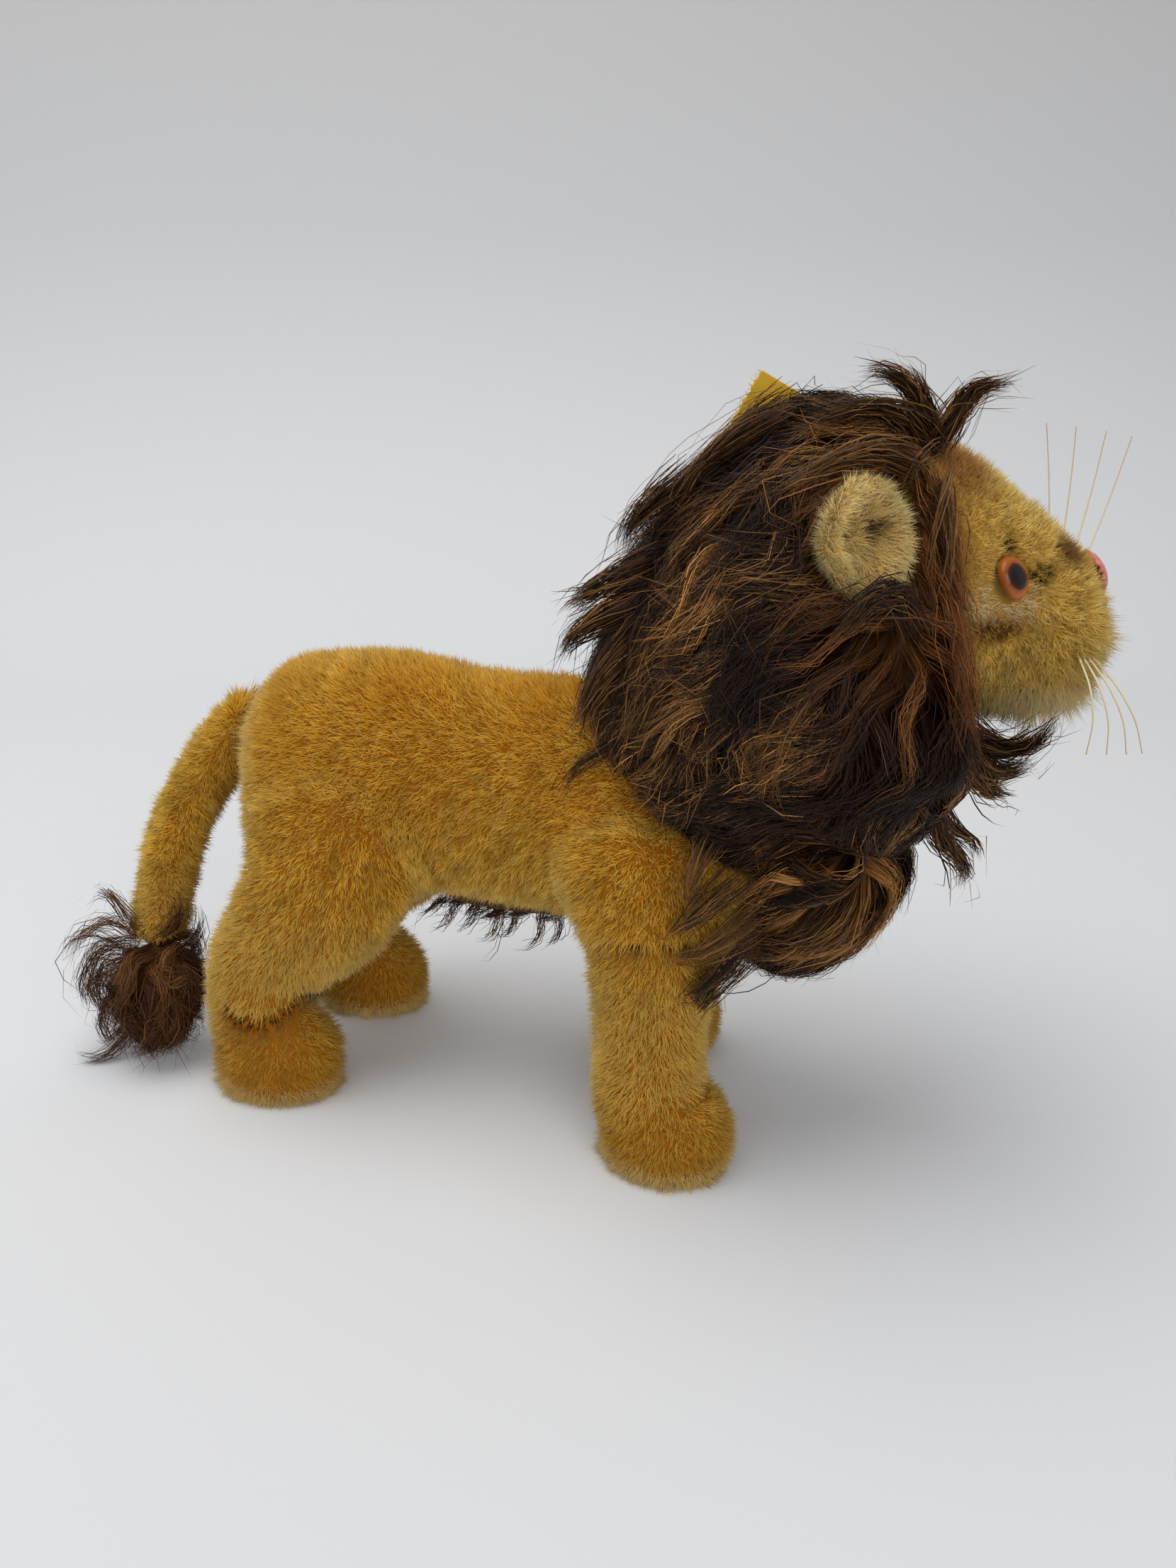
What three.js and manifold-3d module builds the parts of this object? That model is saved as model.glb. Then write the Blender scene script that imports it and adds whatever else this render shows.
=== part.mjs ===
// A standing toy lion in long-pile and short-pile plush, about 156 mm long and 111 mm high.
// Millimetres, +X towards the nose, +Y to the lion's left, +Z up, soles on Z = 0.
import * as THREE from "three";
import { mergeVertices } from "three/addons/utils/BufferGeometryUtils.js";
import Module from "manifold-3d";

const wasm = await Module();
wasm.setup();

// Running gap between pieces that lie on each other, and the overrun of a cut past a face.
const seamGap = 0.3;
const overrun = 4;

// Torso: a tapering stuffed body, its middle at torsoLift over the floor.
const torsoLength = 93;
const torsoWidth = 33;
const torsoHeight = 38.6;
const torsoLift = 50.5;
const rumpX = -42;

// Legs and paws.
const track = 29.5;
const pawWidth = 18.6;
const pawLength = 22;
const soleThickness = 1;
const legWireDiameter = 1.2;
const wireClearance = 0.35;

// Neck joint: a flat seat across the shoulders, its middle at neckSeatX and neckSeatZ.
const neckSeatX = 29;
const neckSeatZ = 59.5;
const neckPitch = THREE.MathUtils.degToRad(54);
const neckRadius = 15;
const discRadius = 9;
const discThickness = 2;
const washerRadius = 4;
const washerThickness = 0.8;
const pinDiameter = 1.6;
const pinPocketRadius = 5.6;
const pinPocketDepth = 9;
const pinEyeRadius = 2.4;
const pinLegDiameter = 0.8;

// Head: a ball that draws in to the muzzle, turned a little to the lion's left.
const headLength = 49;
const headWidth = 35;
const headHeight = 38;
const headX = 36;
const headZ = 86;
const headTurn = THREE.MathUtils.degToRad(13);
const headTurnX = 44;

// Mane: the long-pile hood, from the neck seat to the face. Under collarTop it is no
// wider than collarRadius, so that it clears the bib when the head turns.
const maneReach = 37;
const maneWidth = 55;
const maneHeight = 70;
const maneX = 28;
const maneZ = 53;
const collarRadius = 25.5;
const collarTop = 11.5;

// Chest bib and belly fringe, both long pile.
const bibWidth = 40;
const bibDepth = 28;
const bibDrop = 28.5;
const bibX = 50;
const bibZ = 56;
const fringeLength = 24;
const fringeWidth = 8;
const fringeDepth = 9;
const fringeX = -9;

// Ears, cupped, set on the sides of the head.
const earWidth = 15;
const earHeight = 17;
const earDepth = 4.6;
const earCup = 2.6;
const earRim = 0.9;
const earX = 51.3;
const earY = 18.5;
const earZ = 92.4;

// Glass eyes on wire shanks.
const eyeDiameter = 6;
const eyeBulge = 2.1;
const eyeSeat = 1.4;
const shankDiameter = 0.8;
const shankLength = 7;

// Nose and mouth, sewn in floss over the muzzle.
const noseWidth = 7.6;
const noseHeight = 5.2;
const flossThickness = 0.6;
const mouthWidth = 8;
const mouthDrop = 5.5;
const stitchWidth = 0.7;

// Whiskers: four threads drawn through the muzzle, low on the right and high on the left.
const whiskerDiameter = 0.3;
const whiskerDrop = 13;
const whiskerRise = 23;

// Cloth tag in the seam of the left ear.
const tagLength = 16;
const tagWidth = 10;
const tagThickness = 0.35;

// Tail, its wire, and the long-pile tuft.
const tailDiameter = 11.2;
const tailDrop = 39;
const tailReach = 14.3;
const tailSwing = 10;
const tailRootX = -44.2;
const tailRootZ = 56.5;
const tailWireDiameter = 1;
const tuftWidth = 16.4;
const tuftLength = 19;

const gold = 0xc79343;
const cream = 0xd9c08c;
const umber = 0x4a3328;
const tan = 0x8a6a48;

function material(color, roughness, metalness = 0) {
  return new THREE.MeshStandardMaterial({ color, roughness, metalness });
}

const plush = material(gold, 0.95);
const facePlush = material(0xc9a24c, 0.95);
const earPlush = material(cream, 0.95);
const manePlush = material(umber, 0.9);
const bibPlush = material(tan, 0.9);
const steel = material(0x9a9a98, 0.35, 1);
const hardboard = material(0x8b6b45, 0.85);
const glass = material(0xc45a24, 0.08);
const pinkFloss = material(0xd8766a, 0.6);
const darkFloss = material(0x4b3a34, 0.7);
const nylon = material(0xd8cfa8, 0.4);
const cloth = material(0xd9a72c, 0.85);
const felt = material(0xc9a45c, 0.95);

// A closed mesh as a solid: shared vertices merged, only positions kept.
function solidFrom(geometry) {
  const bare = geometry.clone();
  bare.deleteAttribute("normal");
  bare.deleteAttribute("uv");
  const merged = mergeVertices(bare, 1e-4);
  return new wasm.Manifold(
    new wasm.Mesh({
      numProp: 3,
      vertProperties: new Float32Array(merged.attributes.position.array),
      triVerts: new Uint32Array(merged.index.array),
    }),
  );
}

function geometryFrom(solid) {
  const { vertProperties, triVerts } = solid.getMesh();
  const geometry = new THREE.BufferGeometry();
  geometry.setAttribute("position", new THREE.BufferAttribute(vertProperties, 3));
  geometry.setIndex(new THREE.BufferAttribute(triVerts, 1));
  geometry.computeVertexNormals();
  return geometry;
}

// One end of a stuffed form rounds over like a quarter of an ellipse.
function roundEnd(share) {
  const left = 1 - Math.min(share, 1);
  return Math.sqrt(Math.max(1 - left * left, 0));
}

// A stuffed form: elliptical rings carried along a smooth path and closed by round ends.
// Each row holds x, y, z, half the width across Y and half the height in the path's plane.
function formOf(rows, [startCap, endCap]) {
  const curve = (points) => new THREE.CatmullRomCurve3(points, false, "catmullrom");
  return {
    path: curve(rows.map(([x, y, z]) => new THREE.Vector3(x, y, z))),
    girth: curve(rows.map(([, , , wide, tall]) => new THREE.Vector3(wide, tall, 0))),
    startCap,
    endCap,
  };
}

// One ring of a form: its centre, its two directions and its two half sizes.
function ringOf(form, along, grow = 0) {
  const tangent = form.path.getTangent(along);
  const centre = form.path.getPoint(along).addScaledVector(tangent, grow * (2 * along - 1));
  const side = new THREE.Vector3(0, 1, 0).addScaledVector(tangent, -tangent.y).normalize();
  const up = tangent.clone().cross(side);
  const round = roundEnd(along / form.startCap) * roundEnd((1 - along) / form.endCap);
  const size = form.girth.getPoint(along);
  return { centre, side, up, wide: (size.x + grow) * round, tall: (size.y + grow) * round };
}

// A point on a form's surface: share of its length, angle from its left side up.
function surfacePoint(form, along, angle, grow = 0) {
  const { centre, side, up, wide, tall } = ringOf(form, along, grow);
  return centre
    .addScaledVector(side, wide * Math.cos(angle))
    .addScaledVector(up, tall * Math.sin(angle));
}

function stuffed(form, rings, sides, grow = 0) {
  const points = [form.path.getPoint(0).addScaledVector(form.path.getTangent(0), -grow)];
  for (let ring = 1; ring < rings; ring++) {
    const along = (1 - Math.cos((Math.PI * ring) / rings)) / 2;
    for (let step = 0; step < sides; step++) {
      points.push(surfacePoint(form, along, (2 * Math.PI * step) / sides, grow));
    }
  }
  points.push(form.path.getPoint(1).addScaledVector(form.path.getTangent(1), grow));
  const last = points.length - 1;
  const at = (ring, step) => 1 + (ring - 1) * sides + (step % sides);
  const indices = [];
  for (let step = 0; step < sides; step++) {
    indices.push(0, at(1, step + 1), at(1, step));
    indices.push(last, at(rings - 1, step), at(rings - 1, step + 1));
    for (let ring = 1; ring < rings - 1; ring++) {
      indices.push(at(ring, step), at(ring, step + 1), at(ring + 1, step));
      indices.push(at(ring, step + 1), at(ring + 1, step + 1), at(ring + 1, step));
    }
  }
  return new THREE.BufferGeometry().setFromPoints(points).setIndex(indices);
}

// A round wire bent along a smooth path.
function bentWire(points, diameter, steps, sides = 6) {
  const outline = new THREE.Shape();
  outline.absarc(0, 0, diameter / 2, 0, 2 * Math.PI);
  return new THREE.ExtrudeGeometry(outline, {
    steps,
    curveSegments: sides / 2,
    extrudePath: new THREE.CatmullRomCurve3(points, false, "centripetal"),
  });
}

const lion = new THREE.Group();

function addPiece(name, geometry, finish, parent = lion) {
  const mesh = new THREE.Mesh(geometry, finish);
  mesh.name = name;
  parent.add(mesh);
  return mesh;
}

// The neck joint's own frame: its origin in the middle of the seat, +Z along the neck.
const neckFrame = new THREE.Group();
neckFrame.position.set(neckSeatX, 0, neckSeatZ);
neckFrame.rotation.y = Math.PI / 2 - neckPitch;
lion.add(neckFrame);
neckFrame.updateMatrixWorld(true);

// A round bar on the neck's axis, from one height over the seat to another.
function neckBar(radius, from, to, sides = 24) {
  const bar = new THREE.CylinderGeometry(radius, radius, to - from, sides);
  bar.rotateX(Math.PI / 2);
  bar.translate(0, 0, (from + to) / 2);
  return bar;
}

function onNeck(geometry) {
  return solidFrom(geometry.clone().applyMatrix4(neckFrame.matrixWorld));
}

// Torso rows as shares: place along the body, lift of the middle, width and height.
const torsoShares = [
  [0, 0.09, 0.67, 0.75],
  [0.12, 0.065, 0.97, 0.89],
  [0.27, 0.05, 0.97, 0.99],
  [0.43, 0.01, 0.9, 0.975],
  [0.59, 0, 0.91, 0.995],
  [0.74, -0.025, 1, 1.03],
  [0.88, -0.065, 1, 0.985],
  [1, -0.115, 0.79, 0.78],
];
const torsoCapShares = [0.12, 0.15];

function torsoForm(grow = 0) {
  const rows = torsoShares.map(([along, lift, wide, tall]) => [
    rumpX + along * torsoLength,
    0,
    torsoLift + lift * torsoHeight,
    (wide * torsoWidth) / 2,
    (tall * torsoHeight) / 2,
  ]);
  return solidFrom(stuffed(formOf(rows, torsoCapShares), 16, 18, grow));
}

// Leg rows as shares: forward of the hip by paw length, out by the track, height by the
// torso's lift, width by the paw's width and depth by its length. The last row is the sole.
const frontLegShares = [
  [-0.21, 0.68, 1.07, 1.07, 1.27],
  [-0.17, 0.85, 0.85, 1.07, 1.15],
  [-0.12, 0.96, 0.63, 0.92, 0.94],
  [-0.13, 1, 0.42, 0.84, 0.82],
  [-0.11, 1.03, 0.23, 0.89, 0.85],
  [0, 1.05, 0.1, 1.01, 1],
  [0, 1.05, 0, 0.92, 0.95],
];
const hindLegShares = [
  [0.63, 0.6, 1.13, 0.86, 1],
  [0.6, 0.74, 0.91, 1.08, 1.32],
  [0.46, 0.84, 0.7, 1.08, 1.25],
  [0.2, 0.9, 0.55, 0.97, 1.05],
  [-0.06, 0.93, 0.41, 0.84, 0.85],
  [-0.07, 0.95, 0.25, 0.88, 0.89],
  [0, 0.97, 0.1, 0.99, 1],
  [0, 0.97, 0, 0.92, 0.95],
];
const legCapShares = [0.12, 0.04];

// Where each paw stands along the torso. The left feet are half a stride off the right ones.
const pawAlongShares = {
  front_leg_right: 0.793,
  front_leg_left: 0.702,
  hind_leg_right: 0.078,
  hind_leg_left: 0.105,
};

function legRows(name) {
  const isFront = name.startsWith("front");
  const shares = isFront ? frontLegShares : hindLegShares;
  const side = name.endsWith("left") ? 1 : -1;
  const partner = name.replace("left", "right");
  const pawX = rumpX + pawAlongShares[name] * torsoLength;
  const hipX = rumpX + pawAlongShares[partner] * torsoLength;
  return shares.map(([forward, out, height, wide, deep]) => {
    const footShare = 1 - Math.min(height, 1);
    return [
      hipX + (pawX - hipX) * footShare + forward * pawLength,
      (side * out * track) / 2,
      height * torsoLift,
      (wide * pawWidth) / 2,
      (deep * pawLength) / 2,
    ];
  });
}

function legForm(name, grow = 0) {
  return solidFrom(stuffed(formOf(legRows(name), legCapShares), 14, 12, grow));
}

// The wire that stiffens a pair of legs: up one leg, across the body and down the other.
function legWirePoints(pair) {
  const wirePath = (name) =>
    legRows(name)
      .slice(1, -1)
      .map(([x, y, z]) => new THREE.Vector3(x, y, z));
  const right = wirePath(`${pair}_leg_right`).reverse();
  const left = wirePath(`${pair}_leg_left`);
  return [...right, ...left];
}

function halfSpaceOver(height, reach) {
  const block = new THREE.BoxGeometry(2 * reach, 2 * reach, reach);
  block.translate(0, 0, height + reach / 2);
  return block;
}

const bodyReach = torsoLength + headLength + maneHeight;
const frontWireBore = bentWire(
  legWirePoints("front"),
  legWireDiameter + 2 * wireClearance,
  26,
);
const hindWireBore = bentWire(
  legWirePoints("hind"),
  legWireDiameter + 2 * wireClearance,
  26,
);
const wireBores = solidFrom(frontWireBore).add(solidFrom(hindWireBore));

// Tail: it hangs from a round root in a socket of the rump and swings towards the right.
const tailRoot = new THREE.Vector3(tailRootX, 0, tailRootZ);
// Shares of the tail's reach back, of its swing and of its drop.
const tailShares = [
  [0, 0, 0],
  [0.36, 0.14, 0.17],
  [0.78, 0.4, 0.45],
  [0.97, 0.73, 0.77],
  [1, 1, 1],
];
const tailTaperShare = 0.9;
const tailCapShares = [0.02, 0.08];

function tailPoint([back, swing, drop]) {
  return new THREE.Vector3(
    tailRoot.x - back * tailReach,
    -swing * tailSwing,
    tailRoot.z - drop * tailDrop,
  );
}

function tailForm(grow = 0) {
  const rows = tailShares.map((share, index) => {
    const point = tailPoint(share);
    const taper = 1 - ((1 - tailTaperShare) * index) / (tailShares.length - 1);
    return [point.x, point.y, point.z, (taper * tailDiameter) / 2, (taper * tailDiameter) / 2];
  });
  return solidFrom(stuffed(formOf(rows, tailCapShares), 12, 10, grow));
}

function ball(centre, radius, segments = 16) {
  const sphere = new THREE.SphereGeometry(radius, segments, segments / 2);
  sphere.translate(centre.x, centre.y, centre.z);
  return solidFrom(sphere);
}

const torso = torsoForm()
  .subtract(onNeck(halfSpaceOver(0, bodyReach)))
  .subtract(onNeck(neckBar(discRadius + seamGap, -discThickness - seamGap, overrun)))
  .subtract(onNeck(neckBar(pinPocketRadius, -pinPocketDepth, overrun, 16)))
  .subtract(ball(tailRoot, tailDiameter / 2 + seamGap))
  .subtract(wireBores);
addPiece("torso", geometryFrom(torso), plush);

const torsoKeepOut = torsoForm(seamGap).subtract(onNeck(halfSpaceOver(0, bodyReach)));

// Each leg is cut by the torso that it is sewn to and cut off flat over its sole.
function belowFloor(height) {
  const block = new THREE.BoxGeometry(2 * bodyReach, 2 * bodyReach, bodyReach);
  block.translate(0, 0, height - bodyReach / 2);
  return solidFrom(block);
}

for (const name of Object.keys(pawAlongShares)) {
  const rows = legRows(name);
  const [footX, footY, , halfWidth, halfLength] = rows[rows.length - 1];
  const leg = legForm(name)
    .subtract(torsoKeepOut)
    .subtract(belowFloor(soleThickness + seamGap))
    .subtract(wireBores);
  addPiece(name, geometryFrom(leg), plush);
  const sole = new THREE.CylinderGeometry(1, 1, soleThickness, 20);
  sole.rotateX(Math.PI / 2);
  sole.scale(halfLength * 0.9, halfWidth * 0.9, 1);
  const soleMesh = addPiece(name.replace("leg", "sole"), sole, felt);
  soleMesh.position.set(footX, footY, soleThickness / 2);
}
addPiece("front_leg_wire", bentWire(legWirePoints("front"), legWireDiameter, 26), steel);
addPiece("hind_leg_wire", bentWire(legWirePoints("hind"), legWireDiameter, 26), steel);

// The face is modelled straight ahead, then turned about an upright line through the neck.
const faceTurn = new THREE.Group();
faceTurn.position.set(headTurnX, 0, 0);
faceTurn.rotation.z = headTurn;
const face = new THREE.Group();
face.position.set(-headTurnX, 0, 0);
faceTurn.add(face);
lion.add(faceTurn);
lion.updateMatrixWorld(true);

function onFace(geometry) {
  return solidFrom(geometry.clone().applyMatrix4(face.matrixWorld));
}

function atPlace(piece, geometry) {
  piece.updateWorldMatrix(true, false);
  return solidFrom(geometry.clone().applyMatrix4(piece.matrixWorld));
}

// Head rows as shares: along the head, lift of the middle, width and height.
const headShares = [
  [0, -0.04, 0.74, 0.74],
  [0.21, 0.015, 1, 1],
  [0.44, 0, 0.97, 1],
  [0.645, -0.08, 0.8, 0.815],
  [0.825, -0.17, 0.63, 0.66],
  [1, -0.23, 0.5, 0.52],
];
const headRows = headShares.map(([along, lift, wide, tall]) => [
  headX + along * headLength,
  0,
  headZ + lift * headHeight,
  (wide * headWidth) / 2,
  (tall * headHeight) / 2,
]);
const headForm = formOf(headRows, [0.2, 0.16]);

function headSolid(grow = 0) {
  return onFace(stuffed(headForm, 16, 18, grow));
}

// Eyes: a glass dome over a flat back, on a wire shank, each in a pocket of the head.
const eyeAlongShare = 0.595;
const eyeAngle = THREE.MathUtils.degToRad(24);
const eyeAim = new THREE.Vector3(0.56, 0.8, 0.21);

function eyeGlass(clearance = 0, cover = 0) {
  const radius = eyeDiameter / 2 + clearance;
  const outline = new THREE.Path();
  outline.moveTo(0, -eyeSeat - clearance);
  outline.lineTo(radius, -eyeSeat - clearance);
  outline.lineTo(radius, cover);
  outline.ellipse(-radius, 0, radius, eyeBulge + cover, 0, Math.PI / 2, false);
  const lathe = new THREE.LatheGeometry(outline.getPoints(3), 20);
  lathe.rotateX(Math.PI / 2);
  return lathe;
}

function eyeShank(clearance = 0) {
  const radius = shankDiameter / 2 + clearance;
  const shank = new THREE.CylinderGeometry(radius, radius, shankLength + 2 * clearance, 10);
  shank.rotateX(Math.PI / 2);
  shank.translate(0, 0, -eyeSeat - seamGap - shankLength / 2);
  return shank;
}

const eyePockets = [];
for (const [side, name] of [
  [1, "left"],
  [-1, "right"],
]) {
  const socket = new THREE.Group();
  const angle = side > 0 ? eyeAngle : Math.PI - eyeAngle;
  socket.position.copy(surfacePoint(headForm, eyeAlongShare, angle));
  const aim = eyeAim.clone().multiply(new THREE.Vector3(1, side, 1)).normalize();
  socket.quaternion.setFromUnitVectors(new THREE.Vector3(0, 0, 1), aim);
  face.add(socket);
  addPiece(`eye_${name}`, eyeGlass(), glass, socket);
  addPiece(`eye_shank_${name}`, eyeShank(), steel, socket);
  eyePockets.push(atPlace(socket, eyeGlass(seamGap, overrun)));
  eyePockets.push(atPlace(socket, eyeShank(seamGap)));
}

// Neck joint: two hardboard discs face to face, a washer behind each, and a cotter pin whose
// eye stays in the head and whose legs curl open inside the body.
const pinHole = pinDiameter / 2 + seamGap;
const bodyWasherTop = -discThickness - seamGap;
const headDiscTop = discThickness + seamGap;
const headWasherTop = headDiscTop + seamGap + washerThickness;

function pierced(radius, from, to) {
  const hole = onNeck(neckBar(pinHole, from - overrun, to + overrun, 12));
  return geometryFrom(onNeck(neckBar(radius, from, to)).subtract(hole));
}

addPiece("neck_disc_body", pierced(discRadius, -discThickness, 0), hardboard);
addPiece("neck_disc_head", pierced(discRadius, seamGap, headDiscTop), hardboard);
addPiece(
  "neck_washer_body",
  pierced(washerRadius, bodyWasherTop - washerThickness, bodyWasherTop),
  steel,
);
addPiece(
  "neck_washer_head",
  pierced(washerRadius, headDiscTop + seamGap, headWasherTop),
  steel,
);

// Shares of the washer's radius out and of the leg's drop down.
const pinLegShares = [
  [0, 0],
  [0.45, 0.42],
  [0.9, 0.2],
  [1.05, 0.7],
  [0.75, 1],
];
const pinLegTop = bodyWasherTop - washerThickness - seamGap / 2;
const pinLegDrop = 2.8;
const pinEyeHeight = headWasherTop + pinEyeRadius;
const pinEye = new THREE.TorusGeometry(pinEyeRadius, pinLegDiameter / 2, 6, 12);
pinEye.rotateX(Math.PI / 2);
pinEye.translate(0, 0, pinEyeHeight);
let pin = onNeck(neckBar(pinDiameter / 2, pinLegTop - pinLegDiameter / 2, headWasherTop, 10))
  .add(onNeck(pinEye));
for (const side of [1, -1]) {
  const leg = pinLegShares.map(
    ([out, down]) => new THREE.Vector3(side * out * washerRadius, 0, pinLegTop - down * pinLegDrop),
  );
  pin = pin.add(onNeck(bentWire(leg, pinLegDiameter, 8)));
}
addPiece("neck_pin", geometryFrom(pin), steel);

// Whiskers: each thread crosses the muzzle from a stitch hole low on the right to one on the
// left, where it stands up.
const whiskerAlongShares = [0.875, 0.895, 0.915, 0.935];
const rightHoleAngle = THREE.MathUtils.degToRad(184);
const leftHoleAngle = THREE.MathUtils.degToRad(22);
const whiskerFanShares = [-0.12, 0.02, 0.16, 0.27];
const dropAim = new THREE.Vector3(0.1, -0.6, -0.78);
const riseAim = new THREE.Vector3(0.08, 0.3, 0.95);
const whiskerBores = [];
whiskerAlongShares.forEach((along, index) => {
  const hole = (angle, outward) => surfacePoint(headForm, along, angle, outward);
  const fan = new THREE.Vector3(whiskerFanShares[index], 0, 0);
  const end = (from, aim, reach) => from.clone().addScaledVector(aim.clone().add(fan), reach);
  const right = hole(rightHoleAngle, seamGap);
  const left = hole(leftHoleAngle, seamGap);
  const across = left.clone().sub(right).normalize();
  const rightOut = right.clone().addScaledVector(across, -2 * seamGap);
  const leftOut = left.clone().addScaledVector(across, 2 * seamGap);
  const points = [
    end(rightOut, dropAim, whiskerDrop),
    end(rightOut, dropAim, whiskerDrop / 2),
    rightOut,
    right,
    left,
    leftOut,
    end(leftOut, riseAim, whiskerRise / 2),
    end(leftOut, riseAim, whiskerRise),
  ];
  addPiece(`whisker_${index + 1}`, bentWire(points, whiskerDiameter, 20, 4), nylon, face);
  const bore = [
    right.clone().addScaledVector(across, -overrun),
    left.clone().addScaledVector(across, overrun),
  ];
  whiskerBores.push(onFace(bentWire(bore, whiskerDiameter + 4 * seamGap, 1)));
});

// Head: joined to a neck stub that stands on the seat.
const neckStubShare = 0.6;
const neckStubTop = neckStubShare * headLength;
let head = headSolid()
  .add(onNeck(neckBar(neckRadius, seamGap, neckStubTop)))
  .subtract(onNeck(neckBar(discRadius + seamGap, 0, headDiscTop + seamGap)))
  .subtract(onNeck(neckBar(pinPocketRadius, 0, pinPocketDepth + discThickness, 16)));
for (const pocket of [...eyePockets, ...whiskerBores]) {
  head = head.subtract(pocket);
}
addPiece("head", geometryFrom(head), facePlush);

const headKeepOut = headSolid(seamGap).add(
  onNeck(neckBar(neckRadius + seamGap, -overrun, neckStubTop)),
);

// Nose: a rounded triangle of floss laid over the front edge of the muzzle.
function flossOn(blocks) {
  return onFace(stuffed(headForm, 16, 18, seamGap + flossThickness))
    .intersect(blocks)
    .subtract(headSolid(seamGap));
}

const noseAlongShare = 0.93;
const noseAim = new THREE.Vector3(0.8, 0, 0.6);
const noseSeat = new THREE.Group();
noseSeat.position.copy(surfacePoint(headForm, noseAlongShare, Math.PI / 2));
noseSeat.up.set(0, 0, 1);
noseSeat.lookAt(noseSeat.position.clone().add(noseAim));
face.add(noseSeat);
const noseOutline = new THREE.Shape();
noseOutline.moveTo(-noseWidth / 2, noseHeight / 2);
noseOutline.quadraticCurveTo(0, noseHeight / 2 + flossThickness, noseWidth / 2, noseHeight / 2);
noseOutline.quadraticCurveTo(noseWidth / 2, -noseHeight / 6, 0, -noseHeight / 2);
noseOutline.quadraticCurveTo(-noseWidth / 2, -noseHeight / 6, -noseWidth / 2, noseHeight / 2);
const noseBlock = new THREE.ExtrudeGeometry(noseOutline, {
  depth: 2 * overrun,
  bevelEnabled: false,
  curveSegments: 6,
});
noseBlock.translate(0, 0, -overrun);
addPiece("nose", geometryFrom(flossOn(atPlace(noseSeat, noseBlock))), pinkFloss);

// Mouth: one upright stitch under the nose and two that slant down from its foot.
const mouthSlant = THREE.MathUtils.degToRad(58);
const mouthSeat = new THREE.Group();
mouthSeat.position.set(0, -noseHeight / 2 - stitchWidth, 0);
noseSeat.add(mouthSeat);

function stitch(length, angle, startDrop) {
  const bar = new THREE.BoxGeometry(stitchWidth, length, 4 * overrun);
  bar.translate(0, -length / 2, 0);
  bar.rotateZ(angle);
  bar.translate(0, -startDrop, 0);
  return atPlace(mouthSeat, bar);
}

const mouthFoot = mouthDrop - stitchWidth;
const mouthBlocks = stitch(mouthDrop, 0, 0)
  .add(stitch(mouthWidth / 2, mouthSlant, mouthFoot))
  .add(stitch(mouthWidth / 2, -mouthSlant, mouthFoot));
addPiece("mouth_stitch", geometryFrom(flossOn(mouthBlocks)), darkFloss);

// Ears: shallow cups, their backs cut to the head, each in a clear well of the mane.
const earAim = new THREE.Vector3(0.55, 0.8, 0.2);
const earRimShare = 0.12;
const earFloorShare = 0.62;
const earWellShare = 1.08;

function earCupForm() {
  const outline = new THREE.Path();
  outline.absellipse(0, 0, 1, earDepth, -Math.PI / 2, 0, false, 0);
  outline.quadraticCurveTo(1, earRim, 1 - earRimShare, earRim);
  outline.quadraticCurveTo(earFloorShare, -earCup, 0, -earCup);
  const cup = new THREE.LatheGeometry(outline.getPoints(3), 20);
  cup.rotateX(Math.PI / 2);
  cup.scale(earWidth / 2, earHeight / 2, 1);
  return cup;
}

const earWells = [];
const earSeats = {};
for (const [side, name] of [
  [1, "left"],
  [-1, "right"],
]) {
  const seat = new THREE.Group();
  seat.position.set(earX, side * earY, earZ);
  seat.up.set(0, 0, 1);
  seat.lookAt(seat.position.clone().add(earAim.clone().multiply(new THREE.Vector3(1, side, 1))));
  face.add(seat);
  earSeats[name] = seat;
  const ear = atPlace(seat, earCupForm()).subtract(headSolid(seamGap));
  addPiece(`ear_${name}`, geometryFrom(ear), earPlush);
  const well = new THREE.SphereGeometry(earWellShare, 18, 10);
  well.scale(earWidth / 2, earHeight / 2, earHeight);
  earWells.push(atPlace(seat, well));
}

// Cloth tag: it stands up and back out of the left ear's seam, its end cut to the ear's rim.
const tagPitch = THREE.MathUtils.degToRad(29);
const tagSeat = new THREE.Group();
tagSeat.position.set(earX, earY - earDepth / 2, earZ + earHeight / 2 - tagWidth / 8);
tagSeat.rotation.y = tagPitch;
face.add(tagSeat);

function tagBlock(clearance = 0) {
  const twice = 2 * clearance;
  const block = new THREE.BoxGeometry(tagLength + twice, tagThickness + twice, tagWidth + twice);
  block.translate(-tagLength / 2, 0, 0);
  return atPlace(tagSeat, block);
}

const earRimShareOut = 1.05;
const earBlank = new THREE.SphereGeometry(earRimShareOut, 20, 12);
earBlank.scale(earWidth / 2, earHeight / 2, earDepth);
const tag = tagBlock().subtract(atPlace(earSeats.left, earBlank)).subtract(headSolid(seamGap));
addPiece("ear_tag", geometryFrom(tag), cloth);

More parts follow.
